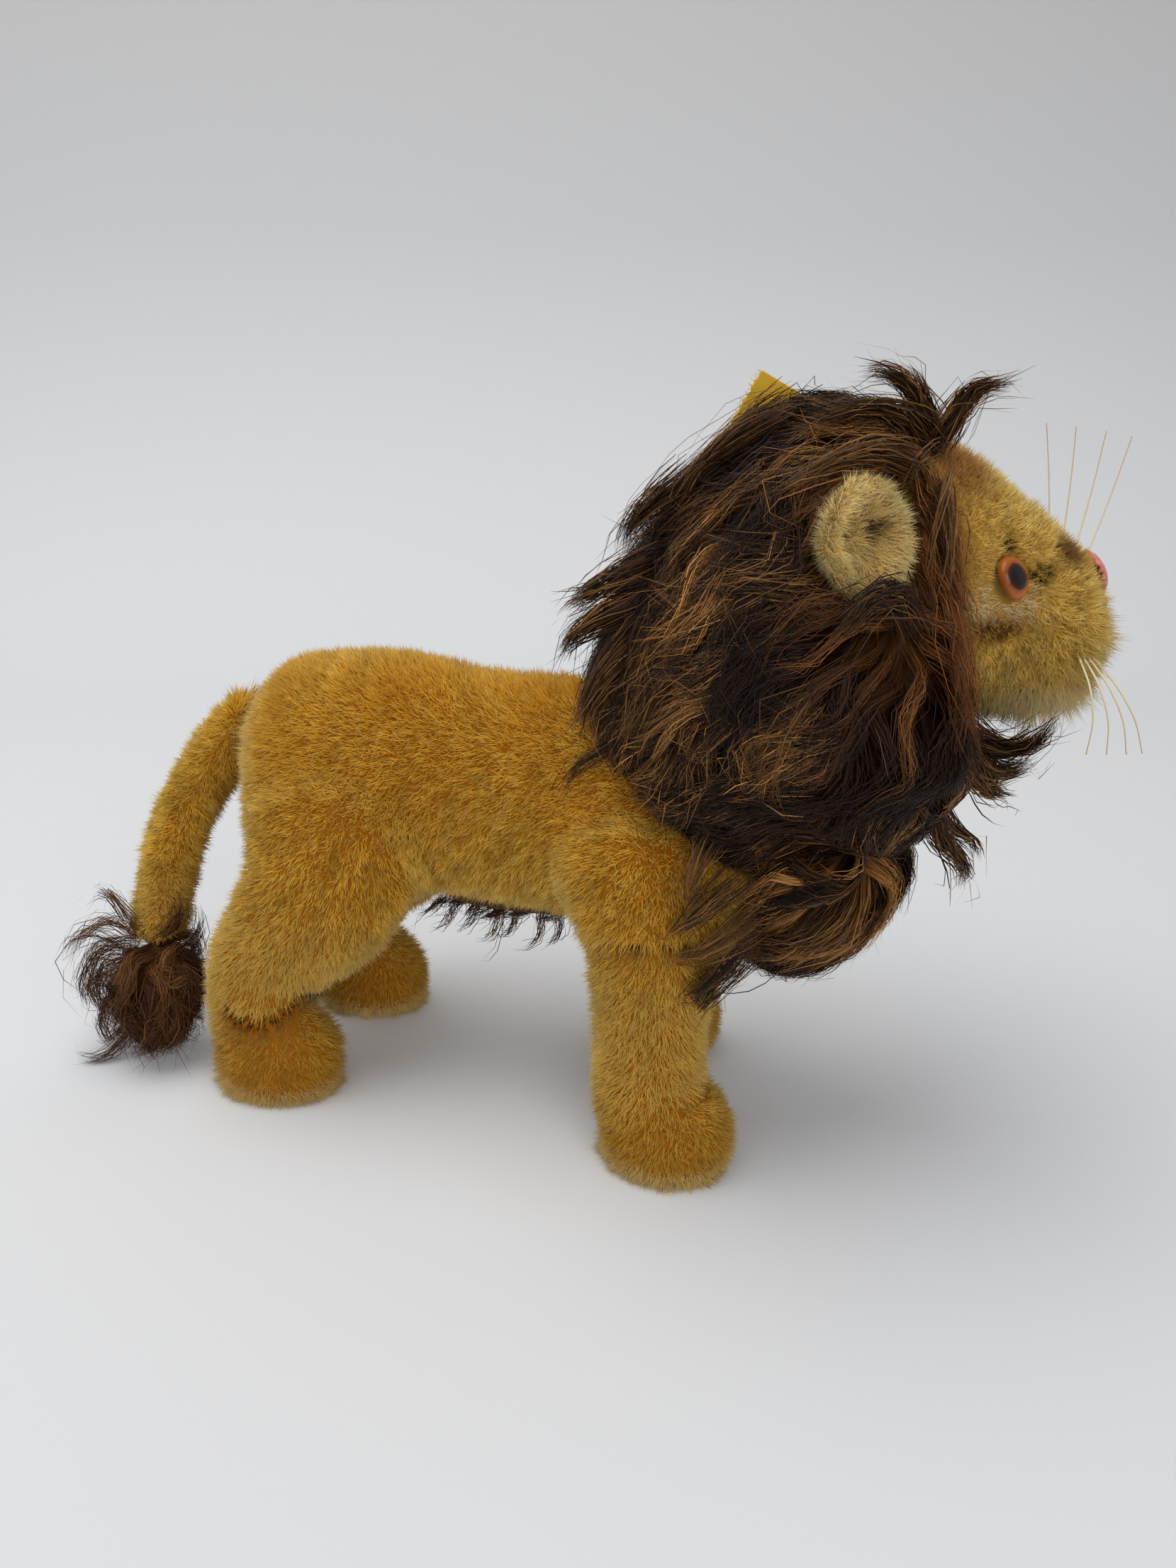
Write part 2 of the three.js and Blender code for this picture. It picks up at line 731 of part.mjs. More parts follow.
// Mane rows as shares: along, to the left, lift, width and height. Over the collar it opens
// out; in front it stops short of the face.
const maneShares = [
  [0, 0, 0, 0.65, 0.49],
  [0.22, 0, 0.13, 0.89, 0.7],
  [0.5, 0, 0.255, 1, 0.9],
  [0.75, 0.02, 0.33, 0.945, 1],
  [1, 0.055, 0.36, 0.76, 0.84],
];
const maneRows = maneShares.map(([along, left, lift, wide, tall]) => [
  maneX + along * maneReach,
  left * maneWidth,
  maneZ + lift * maneHeight,
  (wide * maneWidth) / 2,
  (tall * maneHeight) / 2,
]);
const maneForm = formOf(maneRows, [0.14, 0.1]);
const collarCut = onNeck(neckBar(bodyReach, -bodyReach, collarTop)).subtract(
  onNeck(neckBar(collarRadius, seamGap, collarTop + overrun)),
);
const mane = [collarCut, headKeepOut, ...earWells, tagBlock(seamGap)].reduce(
  (left, cut) => left.subtract(cut),
  solidFrom(stuffed(maneForm, 16, 18)),
);
addPiece("mane", geometryFrom(mane), manePlush);

// Chest bib rows as shares: forward, down, width and depth. It lies under the mane's collar.
const bibShares = [
  [-0.14, 0, 1, 0.86],
  [0, 0.32, 1, 1],
  [-0.05, 0.67, 0.9, 0.96],
  [-0.31, 1, 0.6, 0.64],
];
const bibRows = bibShares.map(([forward, down, wide, deep]) => [
  bibX + forward * bibDepth,
  0,
  bibZ - down * bibDrop,
  (wide * bibWidth) / 2,
  (deep * bibDepth) / 2,
]);
const bibForm = formOf(bibRows, [0.25, 0.3]);
const bib = [
  torsoKeepOut,
  onNeck(halfSpaceOver(collarTop - seamGap, bodyReach)),
  onNeck(neckBar(collarRadius + 2 * seamGap, -seamGap, collarTop + overrun)),
  legForm("front_leg_right", seamGap),
  legForm("front_leg_left", seamGap),
].reduce((left, cut) => left.subtract(cut), solidFrom(stuffed(bibForm, 14, 16)));
addPiece("chest_bib", geometryFrom(bib), bibPlush);

// Belly fringe: a strip of long pile that hangs under the belly seam.
const fringeShares = [
  [0, 0.7],
  [0.5, 1],
  [1, 0.7],
];
const bellyZ = torsoLift - torsoHeight / 2;
const fringeRows = fringeShares.map(([along, size]) => [
  fringeX + along * fringeLength,
  0,
  bellyZ,
  (size * fringeWidth) / 2,
  (size * fringeDepth) / 2,
]);
const fringe = solidFrom(stuffed(formOf(fringeRows, [0.2, 0.2]), 10, 12)).subtract(torsoKeepOut);
addPiece("belly_fringe", geometryFrom(fringe), manePlush);

// Tail: its round root sits in the rump's socket, and a wire runs down its middle.
const tailWirePath = tailShares.map(tailPoint);
const tailEnd = tailWirePath[tailWirePath.length - 1];
const tailBorePath = [...tailWirePath, tailEnd.clone().setZ(tailEnd.z - overrun)];
const socket = ball(tailRoot, tailDiameter / 2 + seamGap);
const tail = tailForm()
  .add(ball(tailRoot, tailDiameter / 2))
  .subtract(torsoKeepOut.subtract(socket))
  .subtract(solidFrom(bentWire(tailBorePath, tailWireDiameter + 2 * wireClearance, 20)));
addPiece("tail", geometryFrom(tail), plush);
addPiece("tail_wire", bentWire(tailWirePath, tailWireDiameter, 20), steel);

// Tuft rows as shares of its length down, of its width across, and of its width.
const tuftShares = [
  [-0.12, -0.02, 0, 0.55],
  [0.2, 0.02, 0.1, 0.95],
  [0.55, 0.05, 0.24, 1],
  [1, 0.1, 0.36, 0.62],
];
const tuftRows = tuftShares.map(([down, forward, swing, size]) => [
  tailEnd.x + forward * tuftWidth,
  tailEnd.y - swing * tuftWidth,
  tailEnd.z - down * tuftLength + tuftLength / 4,
  (size * tuftWidth) / 2,
  (size * tuftWidth) / 2,
]);
const tuft = solidFrom(stuffed(formOf(tuftRows, [0.25, 0.3]), 12, 12))
  .subtract(tailForm(seamGap))
  .subtract(belowFloor(seamGap));
addPiece("tail_tuft", geometryFrom(tuft), manePlush);

// The part's origin is the middle of its box on the floor.
lion.updateMatrixWorld(true);
const bounds = new THREE.Box3().setFromObject(lion, true);
const middle = bounds.getCenter(new THREE.Vector3());
lion.position.set(-middle.x, -middle.y, -bounds.min.z);

export default lion;
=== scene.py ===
import math
import time
import bpy
import numpy as np
from mathutils import Matrix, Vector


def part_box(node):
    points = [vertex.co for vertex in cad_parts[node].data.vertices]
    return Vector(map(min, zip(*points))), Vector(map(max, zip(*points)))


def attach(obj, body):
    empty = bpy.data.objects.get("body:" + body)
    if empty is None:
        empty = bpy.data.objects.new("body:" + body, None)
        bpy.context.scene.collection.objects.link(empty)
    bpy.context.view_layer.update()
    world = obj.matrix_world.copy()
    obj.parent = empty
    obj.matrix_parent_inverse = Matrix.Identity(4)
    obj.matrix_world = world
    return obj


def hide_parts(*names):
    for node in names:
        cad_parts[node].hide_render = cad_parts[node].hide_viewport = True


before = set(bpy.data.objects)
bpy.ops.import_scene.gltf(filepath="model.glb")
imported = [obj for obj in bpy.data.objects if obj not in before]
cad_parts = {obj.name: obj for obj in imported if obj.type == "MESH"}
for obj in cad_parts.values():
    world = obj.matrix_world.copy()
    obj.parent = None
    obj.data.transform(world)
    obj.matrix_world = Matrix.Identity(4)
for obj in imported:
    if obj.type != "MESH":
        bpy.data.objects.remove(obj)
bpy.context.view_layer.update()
rng = np.random.default_rng(41)
began = time.time()

# Lengths below are millimetres in the toy's own layout; toyShift carries them to the frame.
soleLow, soleHigh = (np.array(corner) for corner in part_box("front_sole_right"))
toyShift = (soleLow + soleHigh) / 2 * 1000 - np.array([31.749, -15.488, 0.5])


def tell(stage):
    print(stage, round(time.time() - began, 1), "s")


def toFrame(points):
    return (np.asarray(points, float) + toyShift) / 1000


def unit(v):
    return v / np.maximum(np.linalg.norm(v, axis=-1, keepdims=True), 1e-9)


def dot(a, b):
    return (a * b).sum(-1, keepdims=True)


def smooth(low, high, x):
    t = np.clip((x - low) / (high - low), 0, 1)
    return t * t * (3 - 2 * t)


def linear(*rgb):
    # display colour 0 to 255 as the scene's linear colour: ((c + 0.055) / 1.055) ^ 2.4
    c = np.array(rgb, float) / 255
    low = c / 12.92
    high = ((c + 0.055) / 1.055) ** 2.4
    return tuple(float(v) for v in np.where(c > 0.04045, high, low))


def ripple(points, size, seed):
    # smooth noise: the sum of 14 sine waves of about one wavelength in random directions
    source = np.random.default_rng(seed)
    ways = unit(source.normal(size=(14, 3))) * (2 * math.pi / size) * source.uniform(0.6, 1.5, (14, 1))
    turns = source.uniform(0, 2 * math.pi, 14)
    return np.sin(points @ ways.T + turns).sum(1) / math.sqrt(7)


def ripple3(points, size, seed):
    # three such noises as one vector at each point
    return np.stack([ripple(points, size, seed + k) for k in range(3)], -1)


def crossed(a, b):
    # every pair of a value of a and a value of b, as two flat arrays
    return [g.ravel() for g in np.meshgrid(a, b, indexing="ij")]


def waysOf(*axes):
    # one row for each point, from arrays or plain numbers for its values
    return np.stack(np.broadcast_arrays(*axes), -1)


def onSide(place, way):
    # a place or direction given for the left side, on the left (1) or the right (-1)
    return np.array(place) * [1, way, 1]


def addObject(name, data):
    item = bpy.data.objects.new(name, data)
    bpy.context.scene.collection.objects.link(item)
    return item


# ---- camera, floor and light ----

view = {"lens": 27.03, "sensor": 36, "place": (62.57, -160.09, 115.5), "pitch": 69.4, "yaw": 16.5}
cameraData = bpy.data.cameras.new("camera")
cameraData.lens = view["lens"]
cameraData.sensor_width = view["sensor"]
cameraData.clip_start = 0.01
camera = addObject("camera", cameraData)
camera.location = toFrame(view["place"])
camera.rotation_euler = (math.radians(view["pitch"]), 0, math.radians(view["yaw"]))
bpy.context.scene.camera = camera
bpy.context.scene.view_settings.view_transform = "Standard"

lamps = {
    "over": {"at": (-0.10, -0.05, 0.62), "aim": (0, 0, 0.04), "size": 0.60, "watts": 2.1, "tint": (1, 0.98, 0.95)},
    "front": {"at": (0.45, -0.62, 0.42), "aim": (0, 0, 0.06), "size": 0.55, "watts": 1.6, "tint": (1, 0.97, 0.93)},
    "left": {"at": (-0.60, -0.35, 0.30), "aim": (0, 0, 0.05), "size": 0.50, "watts": 0.7, "tint": (0.95, 0.97, 1)},
}


def placeLamp(name, values):
    data = bpy.data.lights.new(name, "AREA")
    data.shape = "DISK"
    data.size, data.energy, data.color = values["size"], values["watts"], values["tint"]
    lamp = addObject(name, data)
    lamp.location = values["at"]
    away = unit(np.array(values["at"]) - np.array(values["aim"]))
    side = unit(np.cross([0, 0, 1], away))
    turn = np.stack([side, np.cross(away, side), away], 1)
    lamp.rotation_euler = Matrix(turn.tolist()).to_euler()


for lampName, lampValues in lamps.items():
    placeLamp("lamp_" + lampName, lampValues)

world = bpy.data.worlds.new("studio")
bpy.context.scene.world = world
world.use_nodes = True
world.node_tree.nodes["Background"].inputs["Color"].default_value = (0.93, 0.95, 1, 1)
world.node_tree.nodes["Background"].inputs["Strength"].default_value = 0.42
print("camera and light")


# ---- material helpers ----

def newMaterial(name, roughness, sheen, specular):
    material = bpy.data.materials.new(name)
    material.use_nodes = True
    shader = material.node_tree.nodes["Principled BSDF"]
    shader.inputs["Roughness"].default_value = roughness
    shader.inputs["Sheen Weight"].default_value = sheen
    shader.inputs["Sheen Roughness"].default_value = 0.4
    shader.inputs["Specular IOR Level"].default_value = specular
    return material, material.node_tree, shader


def addNode(tree, kind, **settings):
    node = tree.nodes.new(kind)
    for key, value in settings.items():
        setattr(node, key, value)
    return node


def tint(*rgb, share=1.0):
    return (*(share * v for v in linear(*rgb)), 1)


def feed(tree, value, socket):
    # a number or colour goes in as it is, another node's output by a link
    if isinstance(value, (int, float, tuple)):
        socket.default_value = value
    else:
        tree.links.new(value, socket)


def math2(tree, operation, a, b):
    node = addNode(tree, "ShaderNodeMath", operation=operation)
    feed(tree, a, node.inputs[0])
    feed(tree, b, node.inputs[1])
    return node.outputs[0]


def spreadOf(tree, value, scale):
    # (value - 0.5) * scale
    return math2(tree, "MULTIPLY", math2(tree, "SUBTRACT", value, 0.5), scale)


def mixColour(tree, share, a, b):
    node = addNode(tree, "ShaderNodeMix", data_type="RGBA")
    for number, value in ((0, share), (6, a), (7, b)):
        feed(tree, value, node.inputs[number])
    return node.outputs[2]


def channels(tree, name):
    # red, green and blue of a point attribute
    source = addNode(tree, "ShaderNodeAttribute", attribute_name=name)
    split = addNode(tree, "ShaderNodeSeparateColor")
    tree.links.new(source.outputs["Color"], split.inputs[0])
    return list(split.outputs)


def placeNoise(tree, scale, detail=2):
    # noise by the place on the object
    place = addNode(tree, "ShaderNodeTexCoord")
    noise = addNode(tree, "ShaderNodeTexNoise")
    feed(tree, scale, noise.inputs["Scale"])
    feed(tree, detail, noise.inputs["Detail"])
    tree.links.new(place.outputs["Object"], noise.inputs["Vector"])
    return noise.outputs["Fac"]


def colourRamp(tree, value, stops):
    ramp = addNode(tree, "ShaderNodeValToRGB")
    while len(ramp.color_ramp.elements) < len(stops):
        ramp.color_ramp.elements.new(0.5)
    for element, (place, colour) in zip(ramp.color_ramp.elements, stops):
        element.position = place
        element.color = tint(*colour)
    tree.links.new(value, ramp.inputs[0])
    return ramp.outputs[0]


def addBump(tree, shader, height, strength, distance):
    bump = addNode(tree, "ShaderNodeBump")
    bump.inputs["Strength"].default_value = strength
    bump.inputs["Distance"].default_value = distance
    tree.links.new(height, bump.inputs["Height"])
    tree.links.new(bump.outputs["Normal"], shader.inputs["Normal"])


def makeFibreTone():
    # root to middle to tip along the fibre, times a lighter or darker value for each fibre and
    # for each patch of the cloth, then the airbrushed paint over it
    tree = bpy.data.node_groups.new("fibreTone", "ShaderNodeTree")
    for name in ("Root", "Middle", "Tip"):
        tree.interface.new_socket(name, in_out="INPUT", socket_type="NodeSocketColor")
    for name, value in (("Fibre Spread", 0.3), ("Patch Spread", 0.2), ("Patch Scale", 120.0)):
        tree.interface.new_socket(name, in_out="INPUT", socket_type="NodeSocketFloat").default_value = value
    tree.interface.new_socket("Color", in_out="OUTPUT", socket_type="NodeSocketColor")
    given = addNode(tree, "NodeGroupInput").outputs
    paint = addNode(tree, "ShaderNodeAttribute", attribute_name="paint").outputs
    level, shade, _ = channels(tree, "strand")
    doubled = math2(tree, "MULTIPLY", level, 2.0)
    lower = mixColour(tree, doubled, given["Root"], given["Middle"])
    whole = mixColour(tree, math2(tree, "SUBTRACT", doubled, 1.0), lower, given["Tip"])
    fibre = spreadOf(tree, shade, given["Fibre Spread"])
    patch = spreadOf(tree, placeNoise(tree, given["Patch Scale"], 3), given["Patch Spread"])
    shaded = addNode(tree, "ShaderNodeHueSaturation")
    tree.links.new(whole, shaded.inputs["Color"])
    tree.links.new(math2(tree, "ADD", math2(tree, "ADD", fibre, patch), 1.0), shaded.inputs["Value"])
    out = addNode(tree, "NodeGroupOutput")
    painted = mixColour(tree, paint["Alpha"], shaded.outputs["Color"], paint["Color"])
    tree.links.new(painted, out.inputs["Color"])
    return tree


fibreTone = makeFibreTone()


def fibreColour(tree, tones, values):
    # the fibre group with its three tones and its spreads
    tone = addNode(tree, "ShaderNodeGroup", node_tree=fibreTone)
    for socket, colour in zip(("Root", "Middle", "Tip"), tones):
        tone.inputs[socket].default_value = tint(*colour)
    tone.inputs["Fibre Spread"].default_value = values["fibreSpread"]
    tone.inputs["Patch Spread"].default_value = values["patchSpread"]
    tone.inputs["Patch Scale"].default_value = values["patchScale"]
    return tone.outputs["Color"]


def pileMaterial(values):
    material, tree, shader = newMaterial(values["name"], 0.75, values["sheen"], values["specular"])
    shader.inputs["Sheen Tint"].default_value = (1, 0.88, 0.64, 1)
    colour = fibreColour(tree, [values[key] for key in ("root", "middle", "tip")], values)
    tree.links.new(colour, shader.inputs["Base Color"])
    return material


def skinMaterial(name, colour, scale=900.0):
    # the woven ground that the pile stands on: colour noise and a fine bump
    material, tree, shader = newMaterial(name, 0.9, 0.1, 0.1)
    noise = placeNoise(tree, scale)
    tree.links.new(mixColour(tree, noise, tint(*colour, share=0.6), tint(*colour)), shader.inputs["Base Color"])
    addBump(tree, shader, noise, 0.4, 0.0003)
    return material


# ---- mesh helpers ----

def newMesh(name, points, faces, material):
    # points in millimetres; faces is a list of index arrays, triangles or quads
    mesh = bpy.data.meshes.new(name)
    corners = np.concatenate([f.reshape(-1) for f in faces]).astype(np.int32)
    sizes = np.concatenate([np.full(len(f), f.shape[1]) for f in faces])
    mesh.vertices.add(len(points))
    mesh.vertices.foreach_set("co", toFrame(points).astype(np.float32).ravel())
    mesh.loops.add(len(corners))
    mesh.loops.foreach_set("vertex_index", corners)
    mesh.polygons.add(len(sizes))
    mesh.polygons.foreach_set("loop_start", (np.cumsum(sizes) - sizes).astype(np.int32))
    mesh.polygons.foreach_set("use_smooth", np.ones(len(sizes), bool))
    mesh.update(calc_edges=True)
    mesh.materials.append(material)
    return mesh, corners


def meshPiece(name, points, faces, body, material, replaced, uv, colours=None):
    mesh, corners = newMesh(name, points, faces, material)
    layer = mesh.uv_layers.new(name="OFBake")
    layer.uv.foreach_set("vector", uv[corners].astype(np.float32).ravel())
    for key, values in (colours or {}).items():
        layer = mesh.attributes.new(key, "FLOAT_COLOR", "POINT")
        layer.data.foreach_set("color", values.astype(np.float32).ravel())
    piece = addObject(name, mesh)
    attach(piece, body)
    if replaced:
        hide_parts(*replaced)
    return piece


# ---- stuffed forms: elliptical rings along a smooth path, with round ends ----

def splineAt(rows, along):
    # uniform Catmull-Rom curve through the rows, its ends mirrored; also its slope
    ends = np.vstack([2 * rows[0] - rows[1], rows, 2 * rows[-1] - rows[-2]])
    place = np.clip(along, 0, 1) * (len(rows) - 1)
    start = np.minimum(place.astype(int), len(rows) - 2)
    t = (place - start)[:, None]
    p0, p1, p2, p3 = (ends[start + k] for k in range(4))
    m1, m2 = (p2 - p0) / 2, (p3 - p1) / 2
    a, b = 2 * p1 - 2 * p2 + m1 + m2, -3 * p1 + 3 * p2 - 2 * m1 - m2
    return ((a * t + b) * t + m1) * t + p1, (3 * a * t + 2 * b) * t + m1


def roundEnd(share):
    # quarter ellipse: 0 at the pole, 1 where the dome ends
    left = 1 - np.minimum(share, 1)
    return np.sqrt(np.maximum(1 - left * left, 0))


def makeForm(rows, caps, turn=0.0):
    # rows: each ring's centre and two half sizes; caps: the shares of the length that the two domes take
    return {"rows": np.array(rows, float), "caps": caps, "turn": math.radians(turn)}


headTurnX = 44.0


def turned(points, angle):
    # turns about an upright line through the neck, as the face is turned on the body
    if not angle:
        return points
    c, s = math.cos(angle), math.sin(angle)
    x, y = points[..., 0] - headTurnX, points[..., 1]
    return np.stack([headTurnX + c * x - s * y, s * x + c * y, points[..., 2]], -1)


def turnedWay(ways, angle):
    c, s = math.cos(angle), math.sin(angle)
    x, y = ways[..., 0], ways[..., 1]
    return np.stack([c * x - s * y, s * x + c * y, ways[..., 2]], -1)


def loftPoint(form, along, around, grow=0.0):
    # the ring's centre on the smooth path, plus its half axes times the cosine and sine of the place
    # around; grow puffs the form out on all sides
    rows = form["rows"]
    centre, slope = splineAt(rows[:, :3], along)
    size, _ = splineAt(rows[:, 3:], along)
    tangent = unit(slope)
    side = unit(np.array([0.0, 1, 0]) - tangent * tangent[:, 1:2])
    up = np.cross(tangent, side)
    shrink = roundEnd(along / form["caps"][0]) * roundEnd((1 - along) / form["caps"][1])
    wide, tall = ((size + grow) * shrink[:, None]).T
    centre = centre + tangent * (grow * (2 * along - 1))[:, None]
    point = centre + side * (wide * np.cos(around))[:, None] + up * (tall * np.sin(around))[:, None]
    return turned(point, form["turn"])


def normalOf(pointAt, along, around, e):
    # outward normal, the cross product of two small steps over the surface, and the way along it
    a = np.clip(along, 2 * e, 1 - 2 * e)
    alongStep = pointAt(a + e, around) - pointAt(a - e, around)
    aroundStep = pointAt(a, around + e) - pointAt(a, around - e)
    return unit(np.cross(aroundStep, alongStep)), unit(alongStep)


def loftNormal(form, along, around, grow=0.0):
    return normalOf(lambda a, b: loftPoint(form, a, b, grow), along, around, 2e-3)[0]


def gridFaces(rings, sides):
    # quads between rings of a closed form, triangles at its two poles
    ring, step = np.meshgrid(np.arange(rings - 2), np.arange(sides), indexing="ij")
    at = lambda r, s: 1 + r * sides + s % sides
    quads = np.stack([at(ring, step), at(ring, step + 1), at(ring + 1, step + 1), at(ring + 1, step)], -1)
    last = 1 + (rings - 1) * sides
    s = np.arange(sides)
    start = np.stack([np.zeros(sides, int), at(0, s + 1), at(0, s)], -1)
    end = np.stack([np.full(sides, last), at(rings - 2, s), at(rings - 2, s + 1)], -1)
    return [quads.reshape(-1, 4), start, end]


def gridTurns(rings, sides):
    # places along and around for such faces: a pole, the rings, closer together near both ends,
    # and the other pole
    along = np.repeat((1 - np.cos(np.pi * np.arange(1, rings) / rings)) / 2, sides)
    around = np.tile(2 * np.pi * np.arange(sides) / sides, rings - 1)
    return np.concatenate([[0.0], along, [1.0]]), np.concatenate([[0.0], around, [0.0]])


def gridPoints(form, rings, sides, grow=0.0):
    return loftPoint(form, *gridTurns(rings, sides), grow)


def gridUv(rings, sides):
    # around and along, drawn in from the edges so that the poles' faces keep some width
    along = np.repeat(np.arange(1, rings) / rings, sides)
    around = np.tile((np.arange(sides) + 0.5) / sides, rings - 1)
    return np.vstack([[0.5, 0.0], np.stack([around, along], -1), [0.5, 1.0]])


def gridPiece(name, points, rings, sides, body, material, replaced, colours=None):
    return meshPiece(name, points, gridFaces(rings, sides), body, material, replaced,
                     gridUv(rings, sides), colours)


def areaTotal(points):
    # running total of the areas of a grid's cells
    over, across = points[1:, :-1] - points[:-1, :-1], points[:-1, 1:] - points[:-1, :-1]
    return np.cumsum(np.linalg.norm(np.cross(over, across), axis=-1))


def placesIn(pick, a, b):
    # a random place in each picked cell of the grid over a and b
    columns = len(b) - 1
    pick = np.minimum(pick, (len(a) - 1) * columns - 1)
    along = a[pick // columns] + rng.uniform(0, 1, len(pick)) * (a[1] - a[0])
    around = b[pick % columns] + rng.uniform(0, 1, len(pick)) * (b[1] - b[0])
    return along, around


def scatter(form, count, alongSpan, grow=0.0):
    # spreads roots evenly over the surface: cells picked in proportion to their area
    rings, sides = 150, 96
    a, b = np.linspace(*alongSpan, rings + 1), np.linspace(0, 2 * np.pi, sides + 1)
    total = areaTotal(loftPoint(form, *crossed(a, b), grow).reshape(rings + 1, sides + 1, 3))
    share = (np.arange(count) + rng.uniform(0, 1, count)) / count
    return placesIn(np.searchsorted(total, share * total[-1]), a, b)


def cloudOf(form, rings=60, sides=40):
    # points and outward normals over a form, for measuring distances to it
    along, around = (g[1:-1] for g in gridTurns(rings, sides))
    return loftPoint(form, along, around), loftNormal(form, along, around)


def distanceTo(points, cloud, reach=7.0):
    # signed distance to the nearest tangent plane of the cloud, below zero inside; points well
    # outside its box are taken as far away
    spots, normals = cloud
    inBox = ((points > spots.min(0) - reach) & (points < spots.max(0) + reach)).all(1)
    gap = np.full(len(points), 99.0)
    ways = np.tile([0.0, 0, 1], (len(points), 1))
    near = points[inBox].astype(np.float32)
    if len(near):
        nearest = np.empty(len(near), int)
        spots32 = spots.astype(np.float32).T.copy()
        square = (spots32 * spots32).sum(0) / 2
        for start in range(0, len(near), 1500):
            nearest[start:start + 1500] = (near[start:start + 1500] @ spots32 - square).argmax(1)
        ways[inBox] = normals[nearest]
        gap[inBox] = dot(points[inBox] - spots[nearest], normals[nearest])[:, 0]
    return gap, ways


def pushedOut(points, cloud, least, reach=7.0, deepest=99.0):
    # moves points that are closer than least out from a form, unless they lie deep inside it
    gap, out = distanceTo(points, cloud, reach)
    return points + out * (np.maximum(least - gap, 0) * (gap > -deepest))[:, None], gap


def melt(points, clouds, softness, passes=2):
    # moves points onto the softened union of forms: distance = -s ln(sum of exp(-d / s))
    for _ in range(passes):
        gaps, ways = zip(*(distanceTo(points, cloud) for cloud in clouds))
        gaps = np.stack(gaps)
        lowest = gaps.min(0)
        weights = np.exp(-(gaps - lowest) / softness)
        union = lowest - softness * np.log(weights.sum(0))
        normals = unit((weights[:, :, None] * np.stack(ways)).sum(0))
        keep = 1 - smooth(2.0, 3.5, -union)
        points = points - normals * (union * keep)[:, None]
    return points, normals, gaps


# ---- fibres: short pile as three-sided spikes, long hair as bent ribbons ----

def cellUv(count, across, height):
    # each fibre has its own small cell of the map: across it and along it
    rowsOf = math.ceil(math.sqrt(count))
    k = np.arange(count)
    corner = np.stack([k % rowsOf, k // rowsOf], -1)[:, None, :]
    inside = np.stack([across, height], -1)
    return ((corner + 0.1 + 0.8 * inside) / rowsOf).reshape(-1, 2)


def tangentOf(normals, way):
    way = np.broadcast_to(np.asarray(way, float), normals.shape)
    return unit(way - normals * dot(way, normals))


def growPile(name, body, values, material, roots, normals, lean, share, paint):
    # three-sided spikes, several from each root, leaned along the nap and ruffled by noise; their
    # shading normals are between their own and the cloth's
    each = values["each"]
    length = values["length"] * (1 + values["ruffle"] * 0.35 * ripple(roots, 2.2, 5)) * share
    stray, coarse = ripple3(roots, values["clump"], 11), ripple3(roots, values["clump"] * 4, 21)
    way = normals + lean * values["lean"] + stray * values["ruffle"] * 0.55 + coarse * values["ruffle"] * 0.3
    shade = 0.5 + 0.2 * ripple(roots, 1.6, 31) + 0.1 * ripple(roots, 7, 32)
    roots, normals, way, length, shade, paint = (
        np.repeat(a, each, axis=0) for a in (roots, normals, way, length, shade, paint))
    count = len(roots)
    way = unit(way + rng.normal(size=(count, 3)) * values["scatter"])
    way = unit(way + normals * np.maximum(0.35 - dot(way, normals), 0) * 1.5)
    apart = rng.normal(size=(count, 3)) * values["apart"]
    roots = roots + apart - normals * dot(apart, normals)
    length = length * rng.uniform(0.65, 1.15, count)
    side = unit(np.cross(way, rng.normal(size=(count, 3))))
    other = np.cross(way, side)
    radius = values["width"] / 2 * rng.uniform(0.8, 1.25, (count, 1))
    outs = [side * math.cos(t) + other * math.sin(t) for t in np.arange(3) * 2 * math.pi / 3]
    base = roots - normals * 0.35
    points = np.stack([*(base + radius * out for out in outs), roots + way * length[:, None]], 1).reshape(-1, 3)
    first = np.arange(count)[:, None] * 4
    faces = np.concatenate([first + [0, 1, 3], first + [1, 2, 3], first + [2, 0, 3]])
    height = np.tile([0.0, 0, 0, 1], (count, 1))
    uv = cellUv(count, np.tile([0.0, 0.5, 1.0, 0.5], (count, 1)), height)
    shade = np.clip(shade + rng.normal(size=count) * 0.15, 0, 1)
    strand = np.stack([height, np.tile(shade[:, None], 4), np.zeros((count, 4)), np.ones((count, 4))], -1)
    colours = {"strand": strand.reshape(-1, 4), "paint": np.repeat(paint, 4, axis=0)}
    piece = meshPiece(name, points, [faces], body, material, (), uv, colours)
    bent = np.stack([*(unit(normals * 0.8 + out * 0.6) for out in outs), unit(normals * 0.9 + way * 0.5)], 1)
    piece.data.normals_split_custom_set_from_vertices(bent.reshape(-1, 3).tolist())
    print(name, count, "fibres")
    return piece


